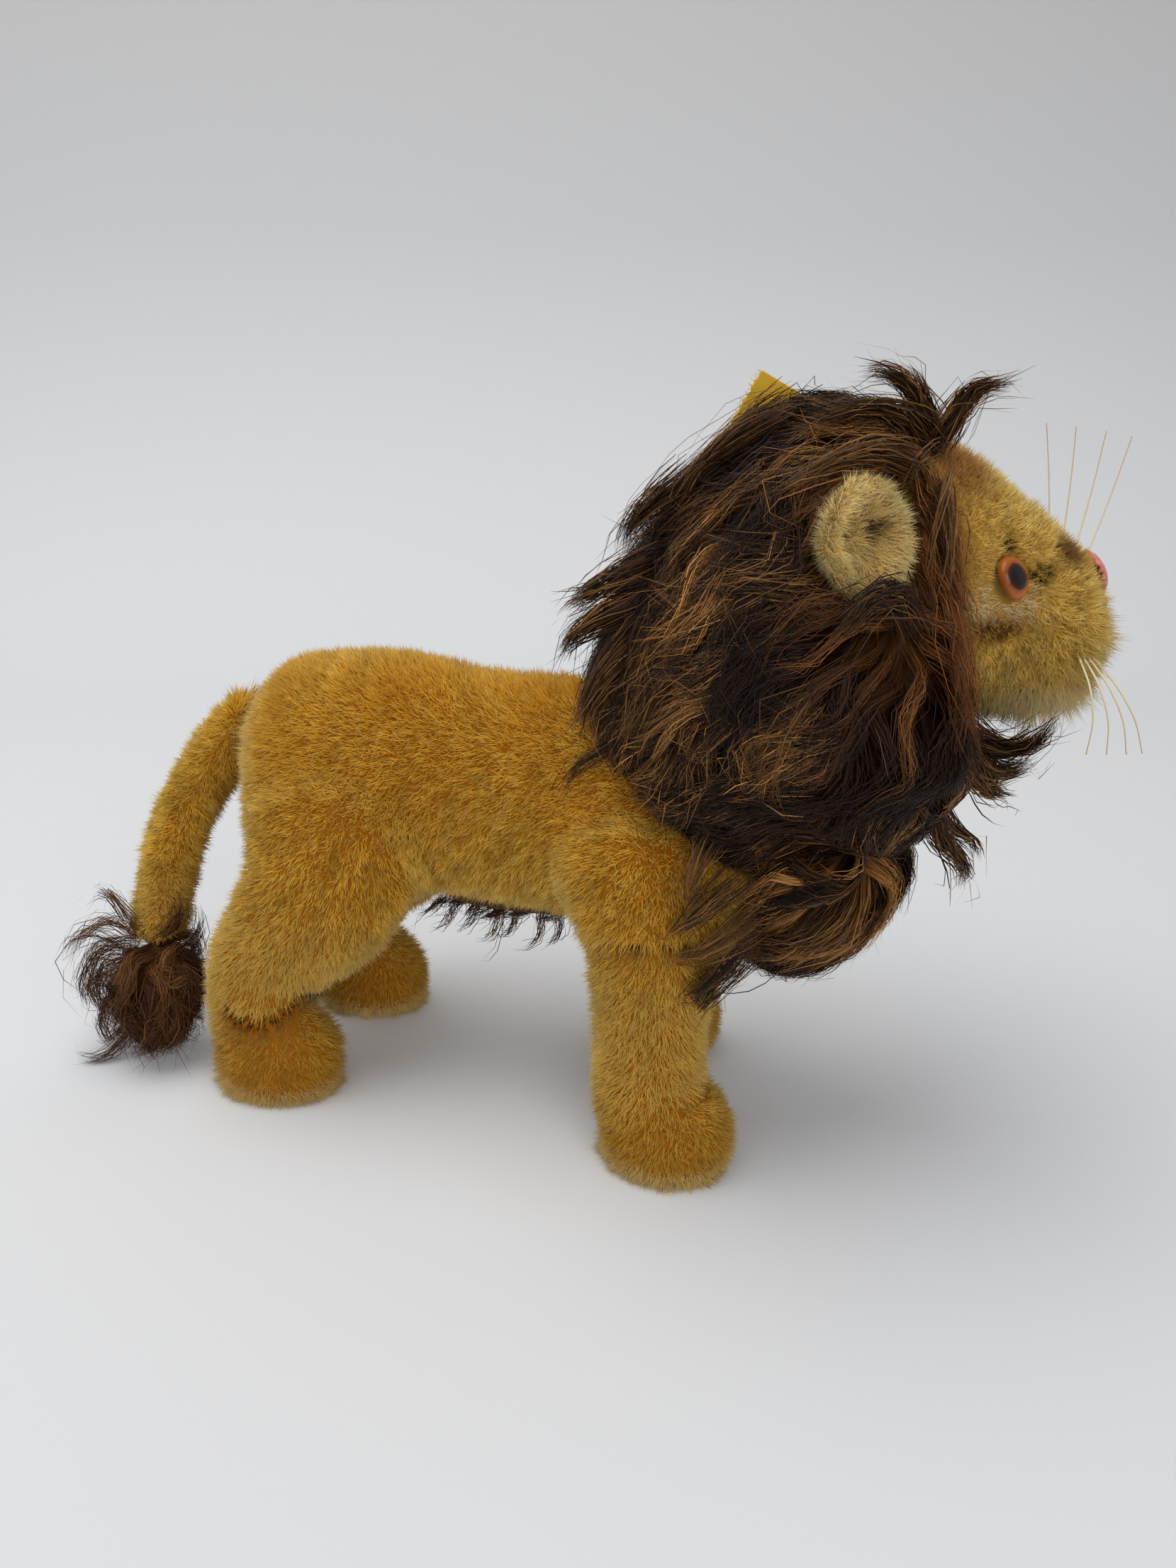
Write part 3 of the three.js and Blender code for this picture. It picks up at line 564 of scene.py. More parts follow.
def growHair(name, body, material, paths, facing, width, shade, tone, paint=None):
    # ribbon: two edges along each hair's path, tapered, and turned a little round its own length
    count, steps = paths.shape[:2]
    tangent = unit(np.gradient(paths, axis=1))
    facing = unit(facing - tangent * dot(facing, tangent))
    across = np.cross(tangent, facing)
    roll = rng.normal(size=(count, 1, 1)) * 0.6
    across = across * np.cos(roll) + facing * np.sin(roll)
    level = np.linspace(0, 1, steps)
    taper = (0.55 + 0.45 * np.minimum(level / 0.3, 1)) * np.sqrt(np.maximum(1.02 - level**3, 0.02))
    half = width[:, None, None] / 2 * taper[None, :, None]
    points = np.stack([paths - across * half, paths + across * half], 2).reshape(-1, 3)
    start = (np.arange(count)[:, None] * steps + np.arange(steps - 1)).reshape(-1, 1) * 2
    faces = start + np.array([[0, 1, 3, 2]])
    heights = np.repeat(level, 2)
    uv = cellUv(count, np.tile([0.0, 1.0], (count, steps)), np.tile(heights, (count, 1)))
    strand = np.ones((count, steps * 2, 4))
    strand[:, :, 0] = heights
    strand[:, :, 1] = shade[:, None]
    strand[:, :, 2] = tone[:, None]
    if paint is None:
        paint = np.zeros((count, 4))
    colours = {"strand": strand.reshape(-1, 4), "paint": np.repeat(paint, steps * 2, axis=0)}
    piece = meshPiece(name, points, [faces], body, material, (), uv, colours)
    outward = np.cross(across, tangent)
    outward = outward * np.sign(dot(outward, facing) + 1e-9)
    bend = 0.9
    normals = np.stack([unit(outward - across * bend), unit(outward + across * bend)], 2).reshape(-1, 3)
    piece.data.normals_split_custom_set_from_vertices(normals.tolist())
    print(name, count, "hairs")


def layPaint(paint, share, colour):
    # a coat of paint over what is there
    left = paint[:, 3] * (1 - share)
    total = left + share + 1e-6
    paint[:, :3] = paint[:, :3] * (left / total)[:, None] + np.array(linear(*colour)) * (share / total)[:, None]
    paint[:, 3] = left + share


def dabPaint(paint, share, colour):
    # a mark in the paint, which is at least as strong as share there
    paint[:, :3] = paint[:, :3] * (1 - share)[:, None] + np.array(linear(*colour)) * share[:, None]
    paint[:, 3] = np.maximum(paint[:, 3], share)


# ---- body and legs ----

torsoRows = [
    (-42, 0, 53.974, 11.055, 14.475), (-30.84, 0, 53.009, 16.005, 17.177), (-16.89, 0, 52.43, 16.005, 19.107),
    (-2.01, 0, 50.886, 14.85, 18.818), (12.87, 0, 50.5, 15.015, 19.204), (26.82, 0, 49.535, 16.5, 19.879),
    (39.84, 0, 47.991, 16.5, 19.01), (51, 0, 46.061, 13.035, 15.054),
]
torsoForm = makeForm(torsoRows, (0.12, 0.15))

frontLegShares = np.array([
    (-0.21, 0.68, 1.07, 1.07, 1.27), (-0.17, 0.85, 0.85, 1.07, 1.15), (-0.12, 0.96, 0.63, 0.92, 0.94),
    (-0.13, 1, 0.42, 0.84, 0.82), (-0.11, 1.03, 0.23, 0.89, 0.85), (0, 1.05, 0.1, 1.01, 1), (0, 1.05, 0, 0.92, 0.95),
])
hindLegShares = np.array([
    (0.63, 0.6, 1.13, 0.86, 1), (0.6, 0.74, 0.91, 1.08, 1.32), (0.46, 0.84, 0.7, 1.08, 1.25),
    (0.2, 0.9, 0.55, 0.97, 1.05), (-0.06, 0.93, 0.41, 0.84, 0.85), (-0.07, 0.95, 0.25, 0.88, 0.89),
    (0, 0.97, 0.1, 0.99, 1), (0, 0.97, 0, 0.92, 0.95),
])
legReach = {"start": -42, "length": 93, "shift": 22, "side": 14.75, "high": 50.5, "wide": 9.3,
            "deep": 11, "pawSide": 15.5}
pawAlong = {"front_leg_right": 0.793, "front_leg_left": 0.702, "hind_leg_right": 0.078, "hind_leg_left": 0.105}


def sideOf(name):
    return 1 if name.endswith("left") else -1


def pawX(name):
    return legReach["start"] + pawAlong[name] * legReach["length"]


def legForm(name):
    # shares of the leg's sizes as rings, slid along from the hip to where this paw stands
    k = legReach
    shares = frontLegShares if name.startswith("front") else hindLegShares
    side = sideOf(name)
    paw, hip = pawX(name), pawX(name.replace("left", "right"))
    foot = 1 - np.minimum(shares[:, 2], 1)
    x = hip + (paw - hip) * foot + shares[:, 0] * k["shift"]
    sizes = shares[:, 1:] * [side * k["side"], k["high"], k["wide"], k["deep"]]
    return makeForm(np.column_stack([x, sizes]), (0.12, 0.04))


bodyForms = {"torso": torsoForm, **{name: legForm(name) for name in pawAlong}}
bodyClouds = [cloudOf(form) for form in bodyForms.values()]
neckMiddle = np.array([29.0, 0, 59.5])
neckSlope = math.radians(54)
neckWay = np.array([math.cos(neckSlope), 0, math.sin(neckSlope)])

bodySkin = {
    "inset": 1.6, "rings": 64, "sides": 56, "softness": 1.7, "overFloor": 1.4, "ground": (176, 110, 22),
    "footEdge": 4.0, "footIn": 0.13,
}
bodyPile = {
    "length": 1.95, "width": 0.185, "lean": 0.5, "ruffle": 0.34, "scatter": 0.3, "clump": 1.1, "each": 2,
    "apart": 0.22, "torsoCount": 60000, "legCount": 15500, "ruffleCount": 2200,
}
goldPile = {
    "name": "goldPile", "root": (164, 104, 14), "middle": (214, 160, 34), "tip": (255, 222, 126),
    "fibreSpread": 0.75, "patchSpread": 0.36, "patchScale": 60, "sheen": 0.2, "specular": 0.1,
}
goldMaterial = pileMaterial(goldPile)
groundMaterial = skinMaterial("goldGround", bodySkin["ground"])


def neckHeight(points):
    return (points - neckMiddle) @ neckWay


def neckReach(points):
    # height over the neck joint's plane, the foot on its axis, and the way and distance from it
    height = neckHeight(points)
    foot = neckMiddle + height[:, None] * neckWay
    across = points - foot
    return height, foot, across, np.linalg.norm(across, axis=1)


def bodyPaint(points):
    # deeper orange over the back and flanks, paler down the legs, deeper again on the paws
    paint = np.zeros((len(points), 4))
    z = points[:, 2]
    coats = [
        (0.36 * smooth(38, 62, z) * (0.8 + 0.3 * ripple(points, 22, 61)), (204, 136, 16)),
        (0.3 * smooth(60, 69, z), (176, 118, 24)),
        (0.44 * smooth(38, 26, z) * smooth(7, 15, z), (224, 186, 98)),
        (0.5 * smooth(15, 6, z), (172, 118, 30)),
    ]
    for share, colour in coats:
        layPaint(paint, np.clip(share, 0, 1), colour)
    return paint


# folds in the plush, at the front leg's top and the hind paw's top: each is an arc at the height
# z - bow * (x - middle)^2, and fades in so many mm above it (wide) and below it (under)
folds = {
    "front": {"z": 38.9, "bow": 0.011, "middle": 34, "x": (14, 44), "side": 19.0, "wide": 1.9, "under": 1.9,
              "deep": 1.0},
    "hind": {"z": 15.6, "bow": -0.05, "middle": -34.5, "x": (-43, -25.5), "side": 12.0, "wide": 2.2,
             "under": 4.2, "deep": 0.45},
}


def foldDepth(points, name):
    # -1 just under a fold and 1 just over it, fading away from it
    k = folds[name]
    x, y, z = points.T
    rise = z - k["z"] + k["bow"] * (x - k["middle"]) ** 2
    near = np.exp(-np.abs(rise) / np.where(rise > 0, k["wide"], k["under"]))
    near = near * smooth(k["side"] - 4, k["side"], np.abs(y))
    near = near * smooth(k["x"][0], k["x"][0] + 4, x) * smooth(k["x"][1], k["x"][1] - 2, x)
    return np.where(rise > 0, near, -near)


def foldsOf(points, name):
    fold = np.zeros(len(points))
    for key in folds:
        if name.startswith(key) or (name == "torso" and key == "front"):
            found = foldDepth(points, key)
            fold = np.where(np.abs(found) > np.abs(fold), found, fold)
    return fold


def creased(points, normals, name):
    # the cloth swells over a fold and is drawn in under it
    fold = foldsOf(points, name) * folds["hind" if name.startswith("hind") else "front"]["deep"]
    return points + normals * (0.8 * np.maximum(fold, 0) - 1.7 * np.maximum(-fold, 0))[:, None]


def toePuff(points, name):
    # the hind paws swell forward over the toes
    if not name.startswith("hind"):
        return np.zeros_like(points)
    toe = pawX(name) + 9
    share = smooth(toe - 8, toe + 1, points[:, 0]) * smooth(17, 11, points[:, 2])
    return share[:, None] * np.array([1.5, 0, 0.3])


def pawCentre(name):
    return np.array([pawX(name), sideOf(name) * legReach["pawSide"]])


def roundFoot(points, name):
    # the paw's lower edge is drawn in towards the floor by a quarter circle
    if name == "torso":
        return points
    low = 1 - np.clip(points[:, 2] / bodySkin["footEdge"], 0, 1)
    share = 1 - bodySkin["footIn"] * (1 - np.sqrt(np.maximum(1 - low * low, 0)))
    moved = points.copy()
    moved[:, :2] = pawCentre(name) + (points[:, :2] - pawCentre(name)) * share[:, None]
    return moved


def underPile(points, normals, name):
    # in from the pile's surface to the cloth: along the normals, and near the floor straight in
    # towards the middle of the paw, whose normals there are upright at the sole
    if name == "torso":
        return points - normals * bodySkin["inset"], normals
    low = smooth(7.5, 4.5, points[:, 2])[:, None]
    across = (points[:, :2] - pawCentre(name)) * low
    moved = points - normals * bodySkin["inset"] * (1 - low)
    moved[:, :2] -= across * 0.15
    outward = unit(np.concatenate([points[:, :2] - pawCentre(name), points[:, :1] * 0], 1))
    return moved, unit(normals * (1 - low) + outward * low)


tailRows = [
    (-39.2, 0.5, 59.4, 5.2, 5.2), (-43.7, 0, 56.5, 5.6, 5.6), (-49.35, -1.4, 49.87, 5.46, 5.46),
    (-55.35, -4, 38.95, 5.32, 5.32), (-58.07, -7.3, 26.47, 5.18, 5.18), (-58.5, -10, 17.5, 5.04, 5.04),
]
tailForm = makeForm(tailRows, (0.1, 0.08))
tailCloud = cloudOf(tailForm, 50, 24)


def sewBody(name, form):
    # the form melted into its neighbours, sunk under the pile, creased, and held under the neck's plane
    k = bodySkin
    points, normals, _ = melt(gridPoints(form, k["rings"], k["sides"]), bodyClouds, k["softness"])
    points = creased(underPile(points, normals, name)[0], normals, name) + toePuff(points, name)
    points = roundFoot(points - neckWay * np.maximum(neckHeight(points) + 0.2, 0)[:, None], name)
    points[:, 2] = np.maximum(points[:, 2], k["overFloor"])
    skin = gridPiece(name + "_skin", points, k["rings"], k["sides"], "root", groundMaterial, (name,))


def bodyRoots(index, name, form):
    # roots over the part of the form that shows, with their normals, nap, length and fold
    torso = name == "torso"
    count = bodyPile["torsoCount" if torso else "legCount"]
    roots = loftPoint(form, *scatter(form, count, (0.002, 1 if torso else 0.985)))
    roots, normals, gaps = melt(roots, bodyClouds, bodySkin["softness"])
    others = np.delete(gaps, index, axis=0).min(0)
    keep = (others > -0.6) & (neckHeight(roots) < -0.8) & (gaps[index] > -3)
    roots, normals = roots[keep], normals[keep]
    fold = foldsOf(roots, name)
    puffed = toePuff(roots, name)
    roots, normals = underPile(roots, normals, name)
    roots = roundFoot(creased(roots, normals, name) + puffed, name)
    lean = tangentOf(normals, [-0.75, 0, -0.65] if torso else [-0.15, 0, -1.0])
    low = smooth(9, 3, roots[:, 2])[:, None]
    lean = unit(lean * (1 - low) + tangentOf(normals, [0, 0, -0.2]) * low)
    return roots, normals, lean, 1 - 0.15 * low[:, 0], fold


def soleRuffle(name, form):
    # the same five for the pile that is brushed out round the sole's seam
    count = bodyPile["ruffleCount"]
    edge = loftPoint(form, np.full(count, 0.975), rng.uniform(0, 2 * math.pi, count))
    out = unit((edge - edge.mean(0)) * [1, 1, 0])
    roots = roundFoot(edge - out * (bodySkin["inset"] - 0.2) + toePuff(edge, name), name)
    return roots, out, np.tile([0.0, 0, -1.3], (count, 1)), rng.uniform(0.9, 1.7, count), np.zeros(count)


def keepOverFloor(mesh, least=0.00015):
    # no fibre goes below this height in metres
    spots = np.empty(len(mesh.vertices) * 3, np.float32)
    mesh.vertices.foreach_get("co", spots)
    spots[2::3] = np.maximum(spots[2::3], least)
    mesh.vertices.foreach_set("co", spots)


def furBody(index, name, form):
    # pile that is longer over a fold and shorter in it, in paint laid by height, paler over each fold and with painted
    # shade in the crease under it
    torso = name == "torso"
    roots, normals, lean, share, fold = bodyRoots(index, name, form)
    if not torso:
        pairs = zip((roots, normals, lean, share, fold), soleRuffle(name, form))
        roots, normals, lean, share, fold = (np.concatenate(pair) for pair in pairs)
    share = share * (1 + 0.1 * np.maximum(fold, 0) - 0.5 * np.maximum(-fold, 0))
    lean = lean * (1 + 1.2 * np.maximum(fold, 0))[:, None]
    paint = bodyPaint(roots)
    # a paler mark over each fold, and painted shade in its crease: the pile just under the fold is painted dark brown
    dabPaint(paint, np.clip(fold * 1.6, 0, 1) * 0.6, (226, 180, 84))
    dabPaint(paint, np.clip(fold * -1.6, 0, 1), (62, 32, 4))
    if torso:
        # the pile stands up round the tail's root and hides its seam
        atTail = np.exp(-np.maximum(distanceTo(roots, tailCloud, 6)[0], 0) / 1.8)
        share = share * (1 + atTail)
        atTail = atTail[:, None]
        lean = unit(lean * (1 - atTail) + tangentOf(normals, [-1.0, 0, 0.25]) * atTail)
        halves = {"_right": roots[:, 1] < 0, "_left": roots[:, 1] >= 0}
    else:
        # pale where it is brushed out round the sole
        edge = 0.8 * smooth(4.6, 2.2, roots[:, 2])
        edge[-bodyPile["ruffleCount"]:] = 0.95
        dabPaint(paint, edge * rng.uniform(0.3, 1, len(roots)), (250, 226, 166))
        halves = {"": np.ones(len(roots), bool)}
    for ending, own in halves.items():
        piece = growPile(name + ending + "_pile", "root", bodyPile, goldMaterial, roots[own], normals[own],
                         lean[own], share[own], paint[own])
        keepOverFloor(piece.data)


for formName, bodyForm in bodyForms.items():
    sewBody(formName, bodyForm)
for formIndex, (formName, bodyForm) in enumerate(bodyForms.items()):
    furBody(formIndex, formName, bodyForm)
tell("body and legs")


# ---- tail ----

tailPile = {
    "inset": 1.4, "rings": 60, "sides": 28, "length": 1.8, "width": 0.2, "lean": 0.25, "ruffle": 0.4,
    "scatter": 0.28, "clump": 1.1, "count": 9500, "each": 2, "apart": 0.2, "partings": 34,
}


def dressTail():
    k = tailPile
    points = gridPoints(tailForm, k["rings"], k["sides"], -k["inset"])
    skin = gridPiece("tail_skin", points, k["rings"], k["sides"], "tail", groundMaterial, ("tail",))
    along, around = scatter(tailForm, k["count"], (0.004, 0.95))
    roots = loftPoint(tailForm, along, around, -k["inset"])
    normals = loftNormal(tailForm, along, around)
    outside = distanceTo(roots, bodyClouds[0])[0] > -1.5
    roots, normals, along = roots[outside], normals[outside], along[outside]
    # the pile parts in rows round the tail: length varies as a sine of the place along it
    share = 1 + 0.16 * np.sin(along * 2 * math.pi * k["partings"] + roots[:, 0] * 0.6)
    # at the root it is longer and leans onto the rump
    atRoot = smooth(0.16, 0.03, along)
    lean = tangentOf(normals, [0, 0, -1.0]) * (1 - atRoot)[:, None] + np.array([2.6, 0, 1.2]) * atRoot[:, None]
    growPile("tail_pile", "tail", k, goldMaterial, roots, normals, lean, share * (1 + 0.8 * atRoot),
             bodyPaint(roots))


dressTail()
tell("tail")


# ---- head: its own frame is straight ahead, and the whole face is then turned on the neck ----

headRows = [
    (36, 0, 84.48, 12.95, 14.06), (46.29, 0, 86.57, 17.5, 19), (57.56, 0, 86, 16.98, 19),
    (67.6, 0, 82.96, 14, 15.49), (76.43, 0, 79.54, 11.03, 12.54), (85, 0, 77.26, 8.75, 9.88),
]
headForm = makeForm(headRows, (0.2, 0.16), 13)
straightHead = makeForm(headRows, (0.2, 0.16))
headCloud = cloudOf(headForm, 100, 72)
maneRows = [
    (28, 0, 53, 17.88, 17.15), (36.14, 0, 62.1, 24.48, 24.5), (46.5, 0, 70.85, 27.5, 31.5),
    (55.75, 1.1, 76.1, 25.99, 35), (65, 3.03, 78.2, 20.9, 29.4),
]
maneForm = makeForm(maneRows, (0.14, 0.1))
maneCloud = cloudOf(maneForm, 80, 60)


# the face's own straight layout, and the same turned with the head
def onFace(points):
    return turned(np.asarray(points, float), headForm["turn"])


def offFace(points):
    return turned(points, -headForm["turn"])


def faceWay(ways):
    return turnedWay(np.asarray(ways, float), headForm["turn"])


def faceSpot(along, degrees, grow=0.0):
    return loftPoint(straightHead, np.array([along]), np.array([math.radians(degrees)]), grow)[0]


def seatAxes(aim):
    # across, up and out of a seat that looks along aim
    out = unit(np.array(aim, float))
    across = unit(np.cross((0, 0, 1), out))
    return np.stack([across, np.cross(out, across), out])


eyeSet = {"along": 0.612, "angle": 24, "aim": (0.665, 0.6, 0.45), "radius": 2.8, "bulge": 1.25, "seat": 1.4,
          "sunk": 0.85, "gaze": (-0.8, -0.1), "sides": 56, "socket": (2.85, 3.35), "pressed": 1.75,
          "clear": 2.95, "closeBy": (2.9, 4.2)}
eyeSeats = {
    side: (faceSpot(eyeSet["along"], 90 - way * (90 - eyeSet["angle"])), seatAxes(onSide(eyeSet["aim"], way)))
    for side, way in (("left", 1), ("right", -1))
}
noseSet = {"along": 0.93, "aim": (0.8, 0, 0.6), "wide": 7.6, "high": 5.2, "threads": 17, "thread": 0.3}
noseSeat = faceSpot(noseSet["along"], 90)
noseAxes = seatAxes(noseSet["aim"])
mouthSet = {"drop": 5.5, "side": 4.0, "slant": 58, "gap": 0.7, "thread": 0.3}


def underNose(spots):
    # 1 on the nose and mouth, where the pile is cut away, falling to 0 about 1.5 mm from them
    local = (spots - noseSeat) @ noseAxes.T
    x, y = np.abs(local[:, 0]), local[:, 1]
    nose = np.hypot(np.maximum(x - 2.6 * smooth(-3.2, 2.2, y), 0), np.maximum(np.abs(y) - 2.0, 0))
    stem = np.hypot(x, np.maximum(np.abs(y + 5.5) - 2.5, 0))
    near = np.minimum(nose - 0.6, stem)
    return (1 - smooth(0.3, 1.8, near)) * (local[:, 2] > -9)


headSkin = {"inset": 1.25, "rings": 100, "sides": 84}
# where the face swells: height, place, half sizes squared, and where it begins beside the middle
faceSwells = [
    (0.9, (79, 0, 76), (30, 200, 28), (3, 8)),
    (1.7, (84, 0, 72), (34, 160, 22), None),
    (0.9, (86, 0, 79), (20, 160, 16), (1.5, 5)),
    (0.5, (70, 0, 93.5), (12, 400, 6), (4, 9)),
]


def faceSkin(points, normals):
    # points on the head form, in the straight frame, to the skin: puffed muzzle, jaw, lip and brow,
    # sockets pressed in behind the eyes, and less sunk under the nose
    swell = np.zeros(len(points))
    for height, place, size, beside in faceSwells:
        more = height * np.exp(-((points - np.array(place)) ** 2 / size).sum(1))
        swell = swell + (more * smooth(*beside, np.abs(points[:, 1])) if beside else more)
    sunk = headSkin["inset"] * (1 - underNose(points))
    points = points + normals * (swell - sunk)[:, None]
    for seat, axes in eyeSeats.values():
        local = (points - seat) @ axes.T
        ring = np.hypot(local[:, 0], local[:, 1])
        press = np.maximum(local[:, 2] + eyeSet["pressed"], 0) * (1 - smooth(*eyeSet["socket"], ring))
        press = press * (local[:, 2] > -6)
        points = points - axes[2] * press[:, None]
    return points


facePile = {
    "length": 1.75, "width": 0.155, "lean": 0.3, "ruffle": 0.42, "scatter": 0.28, "clump": 1.1, "count": 31000,
    "each": 2, "apart": 0.2,
}
faceTone = {
    "name": "facePile", "root": (196, 144, 44), "middle": (228, 184, 76), "tip": (255, 234, 162),
    "fibreSpread": 0.8, "patchSpread": 0.3, "patchScale": 80, "sheen": 0.25, "specular": 0.1,
}
# stains: place on the straight face, half sizes, colour, strength; each is on both sides
faceStains = [
    ((73.9, 11.2, 88.3), (2.8, 4.0, 1.5), (12, 6, 4), 1.0),
    ((69.1, 11.9, 92.2), (0.8, 3.4, 1.9), (36, 22, 12), 1.0),
    ((67.5, 13.9, 88.0), (1.2, 3.5, 1.2), (48, 32, 16), 0.95),
    ((68.7, 13.4, 85.0), (5.8, 5.4, 3.2), (232, 208, 168), 0.95),
    ((68.4, 13.8, 81.8), (5.4, 5.0, 1.9), (92, 52, 24), 1.0),
    ((79.4, 5.2, 90.4), (3.8, 4.6, 2.7), (104, 56, 22), 0.95),
    ((62.6, 7.0, 101.2), (5.4, 9.0, 5.2), (160, 104, 56), 0.9),
    ((60.5, 15.0, 95.5), (4.0, 5.0, 7.0), (140, 84, 30), 0.85),
    ((61.5, 15.6, 89.5), (3.2, 5.0, 4.6), (170, 112, 40), 0.7),
    ((78.0, 9.0, 74.0), (6.5, 9.0, 5.0), (206, 168, 84), 0.5),
    ((77.0, 5.0, 70.0), (8.0, 9.0, 4.4), (232, 208, 154), 0.85),
]


def facePaint(spots):
    # airbrushed stains: each fades outwards over an ellipsoid, on both sides alike
    paint = np.zeros((len(spots), 4))
    paint[:, :3] = linear(200, 160, 80)
    both = spots * [1, 0, 1] + np.abs(spots) * [0, 1, 0]
    for place, size, colour, strength in faceStains:
        far = np.linalg.norm((both - np.array(place)) / size, axis=1)
        layPaint(paint, strength * (1 - smooth(0.45, 1.35, far)), colour)
    return paint


def tubes(paths, radii, sides):
    # round threads: rings carried along each path, closed by a point at both ends
    count, steps = paths.shape[:2]
    tangent = unit(np.gradient(paths, axis=1))
    ref = np.where(np.abs(tangent[:, :1, 1:2]) > 0.8, [[[1.0, 0, 0]]], [[[0, 1.0, 0]]])
    side = unit(np.cross(tangent, ref))
    up = np.cross(tangent, side)
    turn = 2 * np.pi * np.arange(sides) / sides
    ring = side[:, :, None] * np.cos(turn)[:, None] + up[:, :, None] * np.sin(turn)[:, None]
    body = (paths[:, :, None] + ring * radii[:, :, None, None]).reshape(count, -1, 3)
    first, last = radii[:, :1, None] * 0.6, radii[:, -1:, None] * 0.6
    ends = [paths[:, :1] - tangent[:, :1] * first, paths[:, -1:] + tangent[:, -1:] * last]
    points = np.concatenate([ends[0], body, ends[1]], 1)
    start = (np.arange(count) * points.shape[1])[:, None, None]
    faces = [(start + f).reshape(-1, f.shape[1]) for f in gridFaces(steps + 1, sides)]
    level = np.concatenate([[0.0], np.repeat(np.linspace(0, 1, steps), sides), [1.0]])
    across = np.concatenate([[0.5], np.tile(np.arange(sides) / sides, steps), [0.5]])
    uv = cellUv(count, np.tile(across, (count, 1)), np.tile(level, (count, 1)))
    return points.reshape(-1, 3), faces, uv, np.tile(level, count)


def threadPiece(name, paths, radii, sides, material, replaced, shades=(0.5,), fromTips=False):
    # sewn or stiff threads, with the place along each of them and its own shade as colours
    points, faces, uv, level = tubes(paths, radii, sides)
    if fromTips:
        level = np.abs(level * 2 - 1)
    shade = np.repeat(shades, len(level) // len(shades))
    colours = {"strand": waysOf(level, shade, 0, 1), "paint": np.zeros((len(level), 4))}
    meshPiece(name, points, faces, "head", material, replaced, uv, colours)


def sewHead():
    # the face's form with its swells and sockets, sunk under the pile
    rings, sides = headSkin["rings"], headSkin["sides"]
    along, around = gridTurns(rings, sides)
    normals = loftNormal(straightHead, along, around)
    normals[0], normals[-1] = (-1, 0, 0), (1, 0, 0)
    points = onFace(faceSkin(loftPoint(straightHead, along, around), normals))
    skin = gridPiece("head_skin", points, rings, sides, "head", faceGround, ("head",))
    # the neck inside the mane: a stuffed stub from the joint up into the head
    stub = makeForm([(*(neckMiddle + neckWay * t), 13.8, 13.8) for t in (0.6, 8, 16, 22)], (0.12, 0.2))
    neck = gridPiece("neck_stub", gridPoints(stub, 24, 40), 24, 40, "head", faceGround, ("head",))


def furHead():
    along, around = scatter(straightHead, facePile["count"], (0.1, 0.999))
    roots = loftPoint(straightHead, along, around)
    normals = loftNormal(straightHead, along, around)
    bare = underNose(roots)
    roots = faceSkin(roots, normals)
    keep = (bare < 0.55) & (distanceTo(onFace(roots), maneCloud)[0] > -4.6)
    nearEye = np.full(len(roots), 99.0)
    away = np.zeros_like(roots)
    for seat, axes in eyeSeats.values():
        local = (roots - seat) @ axes.T
        ring = np.hypot(local[:, 0], local[:, 1]) + 9 * (local[:, 2] < -5)
        nearer = ring < nearEye
        nearEye = np.minimum(nearEye, ring)
        away[nearer] = (local[:, :2] @ axes[:2])[nearer]
    keep &= nearEye > eyeSet["clear"]
    roots, normals, bare, nearEye, away = (a[keep] for a in (roots, normals, bare, nearEye, away))
    muzzle = smooth(70, 79, roots[:, 0]) * smooth(88, 80, roots[:, 2])
    chin = smooth(76, 70, roots[:, 2])
    share = 0.85 + 0.75 * muzzle * (1 + 0.3 * ripple(roots, 3, 45))
    share = share + 0.75 * chin * (1 + 0.3 * ripple(roots, 2.5, 46)) - 0.5 * bare
    share *= 0.92 + 0.08 * smooth(3.0, 5.0, nearEye)
    nap = tangentOf(normals, [-0.8, 0, -0.5])
    # by the eye the pile leans a little over the rim of the glass
    closeBy = (1 - smooth(*eyeSet["closeBy"], nearEye))[:, None]
    nap = nap * (1 - closeBy) - unit(away) * 0.95 * closeBy
    growPile("head_pile", "head", facePile, faceMaterial, onFace(roots), faceWay(normals), faceWay(nap), share,
             facePaint(roots))


faceMaterial = pileMaterial(faceTone)
faceGround = skinMaterial("faceGround", (190, 146, 64))
sewHead()
furHead()
tell("head")


# ---- eyes: domes of glass over a painted iris ----

def glassMaterial():
    # iris by distance from the pupil: a brown-black pupil, a dark ring, orange streaked outwards
    material, tree, shader = newMaterial("eyeGlass", 0.2, 0.0, 0.1)
    shader.inputs["Coat Weight"].default_value = 0.45
    shader.inputs["Coat Roughness"].default_value = 0.02
    right, up, _ = channels(tree, "iris")
    across, upright = spreadOf(tree, right, 2.2), spreadOf(tree, up, 2.2)
    squares = math2(tree, "ADD", math2(tree, "POWER", across, 2.0), math2(tree, "POWER", upright, 2.0))
    oval = math2(tree, "MULTIPLY", math2(tree, "SQRT", squares, 0), 0.8)
    wobble = spreadOf(tree, placeNoise(tree, 900), 0.06)
    stops = [(0.0, (16, 6, 4)), (0.34, (26, 10, 6)), (0.46, (64, 28, 14)), (0.52, (142, 74, 30)),
             (0.7, (184, 102, 38)), (0.88, (174, 92, 36)), (1.0, (92, 42, 18))]
    iris = colourRamp(tree, math2(tree, "ADD", oval, wobble), stops)
    tree.links.new(iris, shader.inputs["Base Color"])
    return material


def latheRings(radii, heights, sides, top):
    # rings of those radii and heights between two poles
    turn = 2 * np.pi * np.arange(sides) / sides
    across, upright = (radii[:, None] * np.cos(turn)).ravel(), (radii[:, None] * np.sin(turn)).ravel()
    rings = np.stack([across, upright, np.repeat(heights, sides)], -1)
    return np.vstack([[0, 0, heights[0]], rings, [0, 0, top]])


